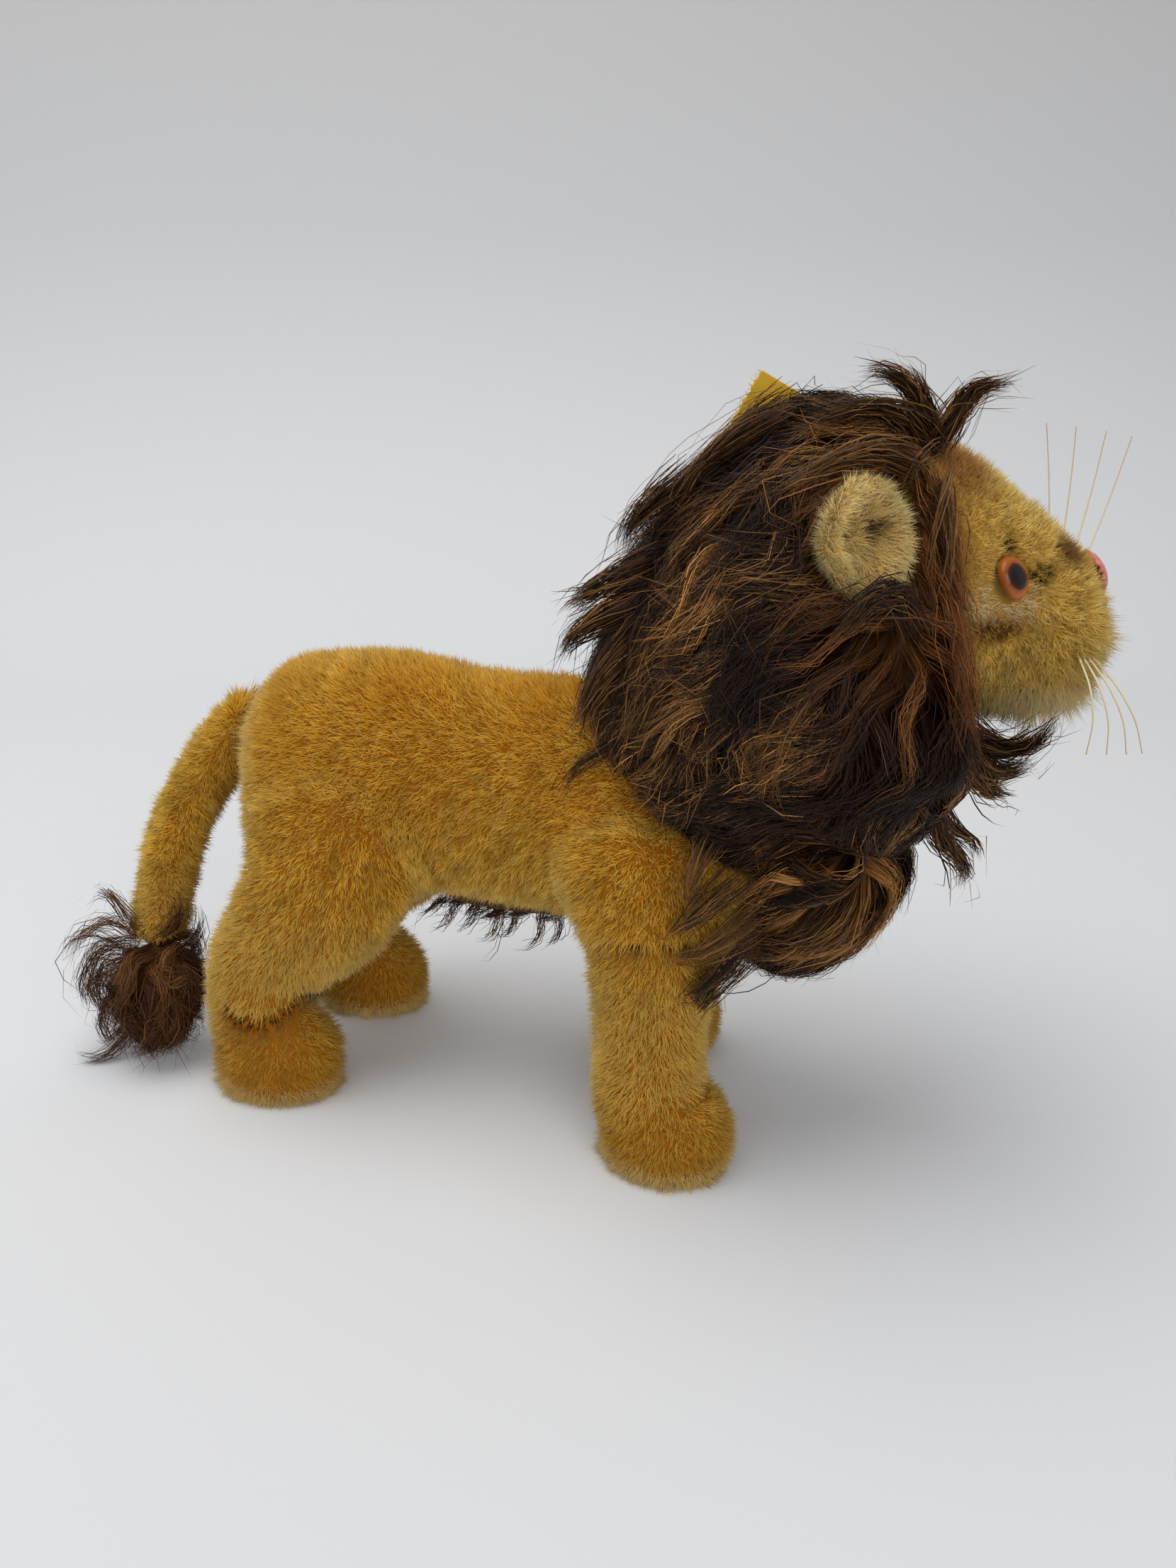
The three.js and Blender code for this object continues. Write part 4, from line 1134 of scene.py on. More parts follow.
def makeEye(side, seat, axes):
    # lathe: flat back, straight edge, and a quarter ellipse of glass up to the middle
    k = eyeSet
    turn = np.linspace(0, math.pi / 2, 22)[1:-1]
    radii = np.concatenate([[0.5, 0.93, 1, 1], np.cos(turn)]) * k["radius"]
    heights = np.concatenate([
        [-k["seat"]] * 2, [-k["seat"] + 0.15, -k["sunk"]], np.sin(turn) * k["bulge"] - k["sunk"]])
    local = latheRings(radii, heights, k["sides"], k["bulge"] - k["sunk"])
    # the iris is painted behind the glass, so it is set a little back and in from the dome's middle
    gaze = np.array(k["gaze"]) * [-sideOf(side), 1]
    iris = waysOf(*((local[:, :2] - gaze) / 6 + 0.5).T, 0, 1)
    gridPiece("eye_glass_" + side, onFace(seat + local @ axes), len(radii) + 1, k["sides"], "head", glass,
              ("eye_" + side,), {"iris": iris})


glass = glassMaterial()
for eyeSide, (eyeSpot, eyeAxes) in eyeSeats.items():
    makeEye(eyeSide, eyeSpot, eyeAxes)


# ---- nose, mouth and whiskers ----

def threadMaterial(name, low, high):
    # silky thread: the colour runs a little along it, with the fine bands of its twist
    material, tree, shader = newMaterial(name, 0.45, 0.3, 0.5)
    shade = channels(tree, "strand")[1]
    noise = placeNoise(tree, 2600)
    blend = math2(tree, "ADD", math2(tree, "MULTIPLY", noise, 0.6), math2(tree, "MULTIPLY", shade, 0.4))
    tree.links.new(mixColour(tree, blend, tint(*low), tint(*high)), shader.inputs["Base Color"])
    addBump(tree, shader, noise, 0.35, 0.00008)
    return material


def ontoMuzzle(local, lift):
    # nose-seat coordinates to the muzzle: slid along the seat's aim onto the head, then lifted
    spots = noseSeat + local.reshape(-1, 3) @ noseAxes
    aim = noseAxes[2]
    for _ in range(5):
        gap, ways = distanceTo(onFace(spots), headCloud, 20)
        slope = np.maximum((ways @ faceWay(aim[None])[0]), 0.25)
        spots = spots - aim * (gap / slope)[:, None] * 0.9
    gap, ways = distanceTo(onFace(spots), headCloud, 20)
    return (onFace(spots) + ways * lift.reshape(-1, 1)).reshape(local.shape)


def makeNose():
    # satin stitches: upright threads side by side, each arched over the pad between its two holes
    k = noseSet
    x = np.linspace(-0.97, 0.97, k["threads"]) * k["wide"] / 2
    share = np.sqrt(1 - np.abs(x) / (k["wide"] / 2))
    high = k["high"] / 2
    low = (1 - share) ** 2 * high - 2 * share * (1 - share) * high / 3 - share**2 * high
    top = high + 0.45 * (1 - (x / (k["wide"] / 2)) ** 2) + rng.uniform(-0.12, 0.12, len(x))
    low = low + rng.uniform(-0.12, 0.12, len(x))
    level = np.linspace(0, 1, 12)
    y = top[:, None] + (low - top)[:, None] * level
    local = np.stack([np.broadcast_to(x[:, None], y.shape), y, y * 0], -1)
    lift = 0.45 * np.sin(np.pi * level) ** 0.5 * np.ones_like(y)
    threadPiece("nose_stitches", ontoMuzzle(local, lift), np.full(y.shape, k["thread"]), 7, noseThread,
                ("nose",), rng.uniform(0, 1, len(x)))


def makeMouth():
    # two upright stitches and two pairs that slant from their foot, each arched over the pile
    k = mouthSet
    startY = -noseSet["high"] / 2 - k["gap"]
    level = np.linspace(0, 1, 9)
    footY = startY - (k["drop"] - k["gap"])
    slant = math.radians(k["slant"])
    pairs = []
    for offset in (-0.22, 0.22):
        pairs.append(((offset, startY + 0.5), (offset, footY)))
        for way in (1, -1):
            reach = np.array([way * math.sin(slant), -math.cos(slant)]) * k["side"]
            pairs.append(((way * 0.1, footY + offset), (reach[0], footY + reach[1] + offset)))
    ends = np.array(pairs)
    flat = ends[:, :1] * (1 - level)[:, None] + ends[:, 1:] * level[:, None]
    local = np.concatenate([flat, np.zeros(flat.shape[:2] + (1,))], -1)
    lift = 0.28 * np.sin(np.pi * level) ** 0.4 * np.ones(flat.shape[:2])
    threadPiece("mouth_stitches", ontoMuzzle(local, lift), np.full(flat.shape[:2], k["thread"]), 7, mouthThread,
                ("mouth_stitch",))


whiskerSet = {
    "along": (0.875, 0.895, 0.915, 0.935), "right": 184, "left": 22, "fan": (-0.12, 0.02, 0.16, 0.27),
    "drop": 13.0, "rise": 23.0, "dropAim": (0.1, -0.6, -0.78), "riseAim": (0.08, 0.3, 0.95), "radius": 0.14,
}


def makeWhiskers():
    # each thread goes from its low tip in at the right hole, across the muzzle and up to its high tip
    k = whiskerSet
    for index, (along, fan) in enumerate(zip(k["along"], k["fan"])):
        right, left = faceSpot(along, k["right"], 0.3), faceSpot(along, k["left"], 0.3)
        across = unit(left - right)
        rightOut, leftOut = right - across * 0.6, left + across * 0.6
        drop = np.array(k["dropAim"]) + [fan, 0, 0]
        rise = np.array(k["riseAim"]) + [fan, 0, 0]
        bow = np.array([0.9, -0.5, 0.3])
        fall, climb = drop * k["drop"], rise * k["rise"]
        rows = np.array([
            rightOut + fall, rightOut + fall * 0.66 + bow, rightOut + fall * 0.3 + bow * 0.9, rightOut, right, left,
            leftOut, leftOut + climb * 0.3 + bow * 0.3, leftOut + climb * 0.65 + bow * 0.3, leftOut + climb,
        ])
        place = np.linspace(0, 1, 90)
        path = onFace(splineAt(rows, place)[0])
        tip = np.minimum(place, 1 - place)
        radii = k["radius"] * (0.45 + 0.55 * smooth(0, 0.28, tip))
        threadPiece(f"whisker_thread_{index + 1}", path[None], radii[None], 8, whiskerMaterial,
                    (f"whisker_{index + 1}",), fromTips=True)


def makeWhiskerMaterial():
    # pale horsehair, browner at its two tips
    material, tree, shader = newMaterial("whiskerHair", 0.35, 0.0, 0.5)
    colour = colourRamp(tree, channels(tree, "strand")[0], ((0.55, (240, 226, 190)), (1.0, (186, 152, 104))))
    tree.links.new(colour, shader.inputs["Base Color"])
    return material


noseThread = threadMaterial("noseFloss", (176, 74, 66), (236, 150, 138))
mouthThread = threadMaterial("mouthFloss", (46, 34, 30), (96, 78, 66))
whiskerMaterial = makeWhiskerMaterial()
makeNose()
makeMouth()
makeWhiskers()
tell("nose, mouth and whiskers")


# ---- ears ----

earSet = {
    "seat": (51.3, 18.5, 92.4), "aim": (0.55, 0.8, 0.2), "wide": 15.0, "high": 17.0, "depth": 4.6, "cup": 2.6,
    "rim": 0.9, "inset": 0.75, "rings": 60, "sides": 64, "taper": 0.5, "count": 9500, "heart": (1.6, 2.2),
    "slim": 0.82, "aside": -1.3,
}
earPile = {
    "length": 2.2, "width": 0.2, "lean": 1.0, "ruffle": 0.4, "scatter": 0.25, "clump": 1.1, "each": 2, "apart": 0.18,
}
earTone = {
    "name": "earPile", "root": (204, 154, 74), "middle": (254, 212, 124), "tip": (255, 240, 176),
    "fibreSpread": 0.45, "patchSpread": 0.25, "patchScale": 90, "sheen": 0.1, "specular": 0.12,
}


def earProfile(share):
    # from the middle of the back out to the rim, over it, and down the inside to the floor
    k = earSet
    back = np.clip(share / 0.5, 0, 1) * math.pi / 2
    edge = np.clip((share - 0.5) / 0.08, 0, 1)
    inner = np.clip((share - 0.58) / 0.42, 0, 1)
    rho = np.sin(back) - 0.12 * edge
    rise = -k["depth"] * np.cos(back) + k["rim"] * np.sin(edge * math.pi / 2)
    a, b = (1 - inner) ** 2, 2 * inner * (1 - inner)
    rho = np.where(share > 0.58, a * 0.88 + b * 0.62, rho)
    rise = np.where(share > 0.58, a * k["rim"] - b * k["cup"] - inner**2 * k["cup"], rise)
    return rho, rise


def earSeat(way):
    return onSide(earSet["seat"], way), seatAxes(onSide(earSet["aim"], way))


def earPoint(side, share, turn):
    # the profile laid round an oval that narrows towards its lower end
    k = earSet
    seat, axes = earSeat(sideOf(side))
    rho, rise = earProfile(share)
    x = rho * np.cos(turn) * k["wide"] / 2
    y = rho * np.sin(turn) * k["high"] / 2
    narrow = 1 - k["taper"] * smooth(2, -k["high"] / 2, y)
    x = x * narrow * k["slim"] - sideOf(side) * k["aside"]
    return seat + np.stack([x, y, rise], -1) @ axes


def earNormal(side, share, turn):
    return normalOf(lambda s, t: earPoint(side, s, t), share, turn, 4e-3)


def sewEar(side):
    # the profile's shell, drawn in under the pile and pushed out where it would sink into the head
    k = earSet
    rings, sides = k["rings"], k["sides"]
    share = np.concatenate([[0.0], np.repeat(np.arange(1, rings) / rings, sides), [1.0]])
    turn = gridTurns(rings, sides)[1]
    normals, _ = earNormal(side, share, turn)
    out = earSeat(sideOf(side))[1][2]
    normals[0], normals[-1] = -out, out
    points = onFace(earPoint(side, share, turn) - normals * k["inset"])
    points = pushedOut(points, headCloud, 0.2)[0]
    skin = gridPiece("ear_skin_" + side, points, rings, sides, "head", earGround, ("ear_" + side,))


def furEar(side):
    # roots spread by area over the back and the inside alike
    k = earSet
    seat, axes = earSeat(sideOf(side))
    a, b = np.linspace(0.02, 0.985, 121), np.linspace(0, 2 * np.pi, 81)
    total = areaTotal(earPoint(side, *crossed(a, b)).reshape(121, 81, 3))
    share, turn = placesIn(np.searchsorted(total, rng.uniform(0, total[-1], k["count"])), a, b)
    normals, ahead = earNormal(side, share, turn)
    roots = earPoint(side, share, turn) - normals * k["inset"]
    # inside, the pile stands straight out of the ear, so that the cup's wall doesn't cross it
    normals = unit(np.where((share > 0.6)[:, None], normals * 0.35 + axes[2], normals))
    inside = share > 0.56
    # on the back the pile leans to the rim; inside it stands round a small heart, where it is painted dark as painted
    # shade deep in the cup, long enough to fill the cup
    local = (roots - seat) @ axes.T
    fromHeart = local[:, :2] - np.array(k["heart"])
    gap = np.linalg.norm(fromHeart, axis=1)
    spoke = (fromHeart / (gap[:, None] + 0.3)) @ axes[:2] * 0.75
    lean = np.where(inside[:, None], spoke, ahead)
    # the cup's floor lies on the head, so its roots come out onto it
    placed = onFace(roots)
    sunk, ways = distanceTo(placed, headCloud)
    keep = inside | (sunk > 0.3)
    placed = placed + ways * (np.maximum(0.35 - sunk, 0) * inside)[:, None]
    # painted shade: dark brown deep in the cup round its heart, with a faint wider ring of it
    paint = np.zeros((k["count"], 4))
    paint[:, :3] = linear(70, 52, 36)
    paint[:, 3] = inside * (0.9 * np.exp(-(gap / 1.1) ** 2) + 0.1 * np.exp(-(gap / 3.0) ** 2))
    longer = 1.0 + 0.75 * smooth(0.2, -2.2, local[:, 2]) * inside
    growPile("ear_pile_" + side, "head", earPile, earMaterial, placed[keep], faceWay(normals)[keep],
             faceWay(lean)[keep], longer[keep], paint[keep])


earMaterial = pileMaterial(earTone)
earGround = skinMaterial("earGround", (150, 118, 70))
for earSide in ("right", "left"):
    sewEar(earSide)
    furEar(earSide)
tell("ears")


# ---- mane, chest bib, belly fringe and tail tuft: long pile in locks ----

hairTones = {
    "name": "maneHair", "patchScale": 70, "fibreSpread": 1.2, "patchSpread": 0.3,
    "dark": ((48, 22, 9), (34, 16, 8), (22, 11, 6)),
    "pale": ((140, 88, 38), (210, 152, 84), (172, 116, 58)),
}


def hairMaterial(values):
    # two sets of root, middle and tip colours, dark and pale, mixed by the tone of each lock
    material, tree, shader = newMaterial(values["name"], 0.5, 0.0, 0.2)
    dark, pale = (fibreColour(tree, values[key], values) for key in ("dark", "pale"))
    tone = channels(tree, "strand")[2]
    tree.links.new(mixColour(tree, tone, dark, pale), shader.inputs["Base Color"])
    return material


def traceLocks(roots, length, flow, cloud, k, clear, steps=12):
    # walks the middle line of each lock over a form: along the flow, swaying from side to side as a
    # sine of the way gone, curling at the end, and held between two heights over the form
    count = len(roots)
    phase = ripple(roots, k["waveSize"], k["seed"]) * 1.6 + rng.normal(size=count) * 0.5
    turns = rng.uniform(*k["turns"], count)
    sway = rng.uniform(0.6, 1.3, count) * k["sway"]
    curl = k["curl"] * rng.normal(size=count)
    lift = k["lift"] * rng.uniform(-0.4, 1.0, count)
    path = [roots]
    spot = roots
    for step in range(steps):
        share = (step + 0.5) / steps
        _, out = distanceTo(spot, cloud, 30)
        way = flow(spot)
        way = unit(way - out * dot(way, out))
        side = np.cross(out, way)
        angle = sway * np.sin(2 * np.pi * turns * share + phase) + curl * smooth(0.55, 1, share)
        way = way * np.cos(angle)[:, None] + side * np.sin(angle)[:, None]
        spot = spot + way * (length / steps)[:, None]
        gap, out = distanceTo(spot, cloud, 30)
        under, over = k["under"] * (1 - smooth(0, 0.4, share)), k["over"] * (1 - smooth(0.7, 1, share))
        wanted = lift * smooth(0.6, 1, share) - under - over
        spot = clear(spot + out * ((wanted - gap) * 0.75)[:, None])
        path.append(spot)
    return np.stack(path, 1)


def sampleLocks(guides, index, span, steps):
    # points along each hair's guide, at equal shares of span times the guide's own length
    place = np.minimum(span[:, None] * np.linspace(0, 1, steps), 1) * (guides.shape[1] - 1)
    low = np.minimum(place.astype(int), guides.shape[1] - 2)
    t = (place - low)[..., None]
    rows = index[:, None]
    return guides[rows, low] * (1 - t) + guides[rows, low + 1] * t


def nearestOf(points, spots):
    # index of the nearest spot to each point: the one with the largest p.s - s.s / 2
    found = np.empty(len(points), int)
    square = (spots * spots).sum(1) / 2
    for start in range(0, len(points), 4000):
        found[start:start + 4000] = (points[start:start + 4000] @ spots.T - square).argmax(1)
    return found


def clumpHair(roots, normals, guides, k, steps=6, index=None):
    # hairs follow the nearest guide, draw together towards its tip, and each wanders by its own sine
    count = len(roots)
    if index is None:
        index = nearestOf(roots, guides[:, 0])
    span = rng.uniform(0.62, 1.0, count) * k.get("span", 1.0)
    stray = rng.uniform(0, 1, count) < k["strays"]
    span = np.where(stray, 1.0, span)
    paths = sampleLocks(guides, index, span, steps)
    level = np.linspace(0, 1, steps)
    offset = roots - guides[index, 0]
    gather = 1 - k["clump"] * smooth(0.0, 0.9, level)
    gather = gather[None] + 0.5 * (stray[:, None] * level)
    paths = paths + offset[:, None] * gather[..., None]
    wander = np.where(stray, 3.2, 1.0) * rng.uniform(0.5, 1.5, count) * k["frizz"]
    turn = rng.uniform(0, 2 * math.pi, (count, 2))
    rate = rng.uniform(0.5, 1.6, (count, 2)) * 2 * math.pi
    u = unit(rng.normal(size=(count, 3)))
    v = unit(np.cross(u, rng.normal(size=(count, 3))))
    waves = np.sin(rate[..., None] * level + turn[..., None]) - np.sin(turn[..., None])
    grow = (wander[:, None] * level**0.8)[..., None]
    paths = paths + (waves[:, 0, :, None] * u[:, None] + waves[:, 1, :, None] * v[:, None]) * grow
    # a loose outer layer: the hairs keep their own height over the guide
    height = rng.uniform(-1, 1, count) ** 3 * k["thick"]
    paths = paths + normals[:, None] * (height[:, None] * smooth(0, 0.4, level))[..., None]
    return paths, index, stray


def combHair(pickRoots, shorten, flow, cloud, k, clear):
    # locks traced over the form, and the hairs that follow them
    guideRoots, _ = pickRoots(k["guides"])
    length = shorten(rng.uniform(*k["length"], len(guideRoots)), guideRoots)
    guides = traceLocks(guideRoots, length, flow, cloud, k, clear)
    roots, normals = pickRoots(k["hairs"])
    return guideRoots, guides, roots, *clumpHair(roots, normals, guides, k)


def handLock(points, count, spread, k, steps=6):
    # one lock laid along given points: a smooth line through its points, thick in the middle, drawn in at the tip
    guide = splineAt(np.array(points, float), np.linspace(0, 1, 13))[0][None]
    roots = guide[0, 0] + rng.normal(size=(count, 3)) * spread
    normals = unit(rng.normal(size=(count, 3)))
    return clumpHair(roots, normals, guide, k, steps, np.zeros(count, int))[0]


def tonedLocks(locks, low, share, spread):
    # locks laid along given points, and the tone of each of their hairs
    paths, tones = [], []
    for points, count, rootSpread, tone in locks:
        paths.append(handLock(points, count, rootSpread, lockSet))
        tones.append(np.clip(low + tone * share + rng.normal(size=count) * spread, 0, 1))
    return paths, tones


def otherSide(locks, across=0.0):
    return [([(x, across - y, z) for x, y, z in points], *rest) for points, *rest in locks]


def someOf(count, *arrays):
    order = rng.permutation(len(arrays[0]))[:count]
    return [array[order] for array in arrays]


# how far from the neck's axis the collar lies: the most for the mane's hair and cloth, and the
# height over the joint where each opens out; the least for the bib's hair
collar = {"hair": (25.4, 10.5, 13.5), "cloth": (21.5, 9.5, 12.5), "opens": 8, "bib": 26.6}


def insideCollar(spots, layer, lowest):
    # over the neck joint's plane and inside the collar
    spots = spots + neckWay * np.maximum(lowest - neckHeight(spots), 0)[:, None]
    height, foot, across, reach = neckReach(spots)
    most, low, high = collar[layer]
    most = most + collar["opens"] * smooth(low, high, height)
    return foot + across * np.minimum(1, most / reach)[:, None]


def earLocal(spots, way):
    seat, axes = earSeat(way)
    return (offFace(spots) - seat) @ axes.T, axes


def coversEar(paths):
    # hairs that still cross the mouth of an ear
    found = np.zeros(len(paths), bool)
    for way in (1, -1):
        local, _ = earLocal(paths.reshape(-1, 3), way)
        local += [way * earSet["aside"], -1.2, 0]
        across = np.linalg.norm(local[:, :2] / [5.9, 7.2], axis=1)
        crosses = (across < 0.95) & (local[:, 2] > -1.5) & (local[:, 2] < 16)
        found |= crosses.reshape(len(paths), -1).any(1)
    return found


def behindEars(spots):
    # the hood's cloth is cut away round each ear: points in its mouth go back under it
    for way in (1, -1):
        local, axes = earLocal(spots, way)
        share = 1 - smooth(1.0, 1.2, np.linalg.norm(local[:, :2] / [7.4, 8.4], axis=1))
        back = np.where(local[:, 2] < 14, np.maximum(local[:, 2] + 6.5, 0), 0) * share
        spots = spots - faceWay(back[:, None] * axes[2])
    return spots


def clearOfHead(spots, headClear=0.9):
    # keeps long hair outside the head and the ears, over the neck joint and inside the collar
    spots, _ = pushedOut(spots, headCloud, headClear, 3, 4)
    for way in (1, -1):
        local, axes = earLocal(spots, way)
        local -= [-way * earSet["aside"], 1.0, 0.5]
        # round the ear's back as an ellipsoid, and aside from its open mouth
        front = local[:, 2] > 0
        depth = np.where(front, 0, local[:, 2] / 6.2)
        size = np.linalg.norm(np.column_stack([local[:, :2] / [6.6, 8.1], depth]), axis=1)
        inMouth = (size < 1) & (local[:, 2] < 14)
        push = np.where(inMouth, 1 / np.maximum(size, 0.35), 1)
        moved = local * push[:, None] - local
        moved[front, 2] = 0
        spots = spots + faceWay(moved @ axes)
    return insideCollar(spots, "hair", -1.2)


maneSet = {
    "rootsUnder": 4.6, "guides": 1700, "hairs": 62000, "length": (15, 25), "width": 0.125, "waveSize": 9, "seed": 71,
    "turns": (0.8, 1.6), "sway": 0.66, "curl": 0.85, "lift": 2.0, "under": 3.0, "over": 0.6, "clump": 0.55,
    "frizz": 0.52, "strays": 0.09, "thick": 1.2, "toneSize": 10.0, "centre": (44.0, 0, 76), "crownOver": 96,
    "lowUnder": 71,
}
# places on the mane, half size in mm, and how pale (1) or dark (-1) the pile is there
maneTonesAndCrownHighlight = [
    ((33.3, -22, 82.6), 5, 1.25), ((42.6, -15, 101.4), 4.5, 0.7), ((51.5, -15, 103), 5, 0.7), ((60, -12, 99.6), 5, 0.9),
    ((44, -27, 69.4), 4.5, 0.9), ((30.7, -23, 72.7), 4, 0.6), ((36, -25.3, 65), 3.5, 0.5), ((53.9, -25, 61), 4, 0.5),
    ((43, -24.8, 59.0), 5, -0.9), ((47, -27, 79.5), 5, -0.8), ((62, -19, 86), 4.5, 0.6), ((34, -24.6, 70.5), 4, 0.4),
    # the two pale marks on the next line, over the crown, are partly real tan and partly painted highlight where the
    # top catches the light from above
    ((50, -6, 107), 7, 0.3), ((60, -8, 104), 6, 0.35),
    ((57.7, -25, 77.3), 9, -1.2), ((50.5, -26.8, 77.8), 6, -0.7), ((25.8, -10, 89.6), 6, -0.9),
    ((19.2, -4, 79), 6, -0.8), ((65, -21, 64.4), 7, -1.0), ((42.7, -25.4, 85), 6, -0.9),
    # the last, small pale mark on the next line is likewise partly a painted highlight on the crown
    ((53.8, -6.5, 108), 5, -0.6), ((50, -10, 106.9), 3, 0.5),
]


def maneFlow(spots):
    # back over the crown, down beside the face, down and back over the sides, out under the chin
    x, y, z = spots.T
    crown = smooth(95, 106, z)
    rim = smooth(56, 62, x) * (1 - smooth(101, 106, z)) * smooth(68, 78, z)
    throat = smooth(56, 64, x) * (1 - smooth(68, 78, z))
    low = (1 - smooth(58, 70, z)) * (1 - smooth(56, 64, x))
    rest = np.clip(1 - crown - rim - throat - low, 0, 1)
    outward = np.sign(y + 1e-6) * smooth(1, 12, np.abs(y))
    parts = [
        (crown, -0.95, 0.55, 0.0), (rim, -0.28, 0.15, -0.95), (throat, -0.35, 0.25, -0.9), (low, -0.82, 0, -0.55),
        (rest, -0.62, 0.1, -0.78),
    ]
    total = sum(share[:, None] * waysOf(back, out * outward, up) for share, back, out, up in parts)
    return unit(total + 0.35 * ripple3(spots, 16, 91))


def hoodPoints(along, around):
    # the hood's ground cloth: the mane's form drawn in under the pile
    return insideCollar(loftPoint(maneForm, along, around, -maneSet["rootsUnder"]), "cloth", 0.7)


def toneAt(spots, marks, size, seed):
    # how pale the hair is: noise of two sizes, and a bell of tone round each mark
    tone = 0.34 * ripple(spots * [1, 1, 0.6], size, seed) + 0.16 * ripple(spots, size / 3, seed + 1) - 0.12
    for place, reach, strength in marks:
        both = spots * [1, 0, 1] - np.abs(spots) * [0, 1, 0]
        tone = tone + strength * np.exp(-((both - place) ** 2).sum(1) / reach**2)
    return tone


# locks that stand out by themselves: points from root to tip, hairs, spread at the root, tone
headLocks = [
    ([(61.0, -3, 103.5), (62.7, -3, 106.4), (64.1, -4, 109.4), (66.2, -4.5, 110.6), (69.2, -5, 111.0)], 260, 1.0, -0.4),
    ([(60.5, -3, 103.8), (59.4, -3.4, 106.8), (57.4, -4.6, 110.2), (54.5, -5.5, 112.2), (51.5, -6.4, 112.4)],
     220, 1.0, -0.4),
    ([(60.3, -2.5, 103.8), (59.6, -2.8, 107), (58.2, -3.6, 110.4), (56, -4, 112.6)], 120, 0.8, -0.3),
    ([(59.5, -4, 103.8), (57, -6.5, 107.0), (52, -9.0, 108.3), (46.5, -10.5, 106.6)], 240, 1.3, -0.5),
    ([(60.8, -6, 102.5), (60.6, -10.2, 103.2), (58.4, -13.6, 101.3), (57.6, -15.6, 97.2), (58.3, -17.0, 92.8)],
     150, 0.8, -0.5),
    ([(61.6, -7, 101.6), (62.4, -11.5, 101.0), (61.2, -15.2, 97.5), (61.0, -17.5, 91.5), (61.6, -18.6, 86.4)],
     110, 0.7, -0.2),
    ([(62.5, -12, 98.5), (63.4, -14.6, 94.5), (63.8, -16.2, 90), (63.2, -17.4, 86)], 70, 0.6, -0.3),
    ([(58.5, -12.0, 102), (54.5, -15.5, 103.6), (49.5, -17.5, 102.6), (44.6, -19, 99.4)], 190, 1.0, -0.3),
    ([(60.5, -20.5, 84.5), (58.6, -23.0, 88.2), (55.8, -25.0, 88.0), (52.6, -25.8, 84.2)], 200, 1.3, -0.9),
    ([(68.0, -8, 68.2), (70.7, -7, 66.6), (74.4, -8, 66.4), (77.0, -8.6, 68.3), (79.0, -9.2, 71.6)], 230, 1.0, -0.6),
    ([(68.5, -8, 66.5), (71.2, -7.5, 63.5), (74.4, -6, 62.9), (77.0, -5.5, 64.6)], 180, 1.1, -0.6),
    ([(68.5, -9, 64.5), (71.5, -8, 61.0), (74.6, -6, 59.6)], 150, 1.0, -0.5),
    ([(68, -2, 66.5), (71.4, 1, 63.6), (74.8, 3, 63.4), (77.4, 4, 66.3)], 180, 1.2, -0.5),
    ([(65.5, -8, 57.5), (66.6, -6, 52.6), (69.2, -4, 49.6), (70.6, -3, 46.4), (69.2, -2.6, 44.0)], 120, 0.9, -0.7),
    ([(65.6, -5, 57.0), (68.0, -3, 53.0), (71.2, -2, 50.8), (71.8, -2, 48.4)], 80, 0.8, -0.7),
    ([(27, -11, 88.5), (22.4, -12, 86.4), (18.6, -12.6, 84.4), (15.9, -12.6, 82.0)], 200, 1.3, -0.7),
    ([(25.5, -12, 84.0), (21.0, -14, 81.6), (17.6, -14.6, 79.2), (16.2, -15, 76.4)], 220, 1.4, -0.7),
    ([(27, -15, 80.0), (23.2, -17.6, 76.0), (20.6, -18.4, 71.6), (19.6, -18.6, 67.4)], 190, 1.3, -0.5),
    ([(31, -8, 99.5), (26.8, -9, 96.2), (24.0, -10, 93.2), (22.8, -10.4, 89.6)], 200, 1.3, -0.6),
    ([(42, -6, 107.0), (37.4, -8, 104.4), (33.0, -9.6, 100.9), (30.2, -10.8, 96.6)], 210, 1.4, -0.4),
]
lockSet = {"clump": 0.6, "frizz": 0.45, "strays": 0.1, "thick": 0.4}


def hairShade(count, stray):
    return np.clip(0.42 + rng.normal(size=count) * 0.21 + 0.2 * stray, 0, 1)


def maneRoots(count):
    under = -maneSet["rootsUnder"]
    along, around = scatter(maneForm, count * 2, (0.004, 0.996), under)
    spots = hoodPoints(along, around)
    normals = loftNormal(maneForm, along, around, under)
    # where the cloth runs under the crown, the roots come up onto the head; none stand where it is
    # folded against the head or the joint
    spots, gap = pushedOut(spots, headCloud, 0.5, 6, 6)
    keep = (gap > -6) & (neckHeight(spots) > 0.75) & (distanceTo(spots, maneCloud)[0] < -0.4)
    return someOf(count, spots[keep], normals[keep])


def maneLength(length, roots):
    # shorter towards the neck joint and round the face
    length = length * (1 - 0.3 * smooth(24, 8, neckHeight(roots)))
    return length * (1 - 0.35 * smooth(60, 66, roots[:, 0]))


def sewHood():
    # the mane's ground cloth, with the ears' places pressed in
    rings, sides = 72, 64
    points = behindEars(hoodPoints(*gridTurns(rings, sides)))
    hood = gridPiece("mane_hood", points, rings, sides, "head", hoodGround, ("mane",))


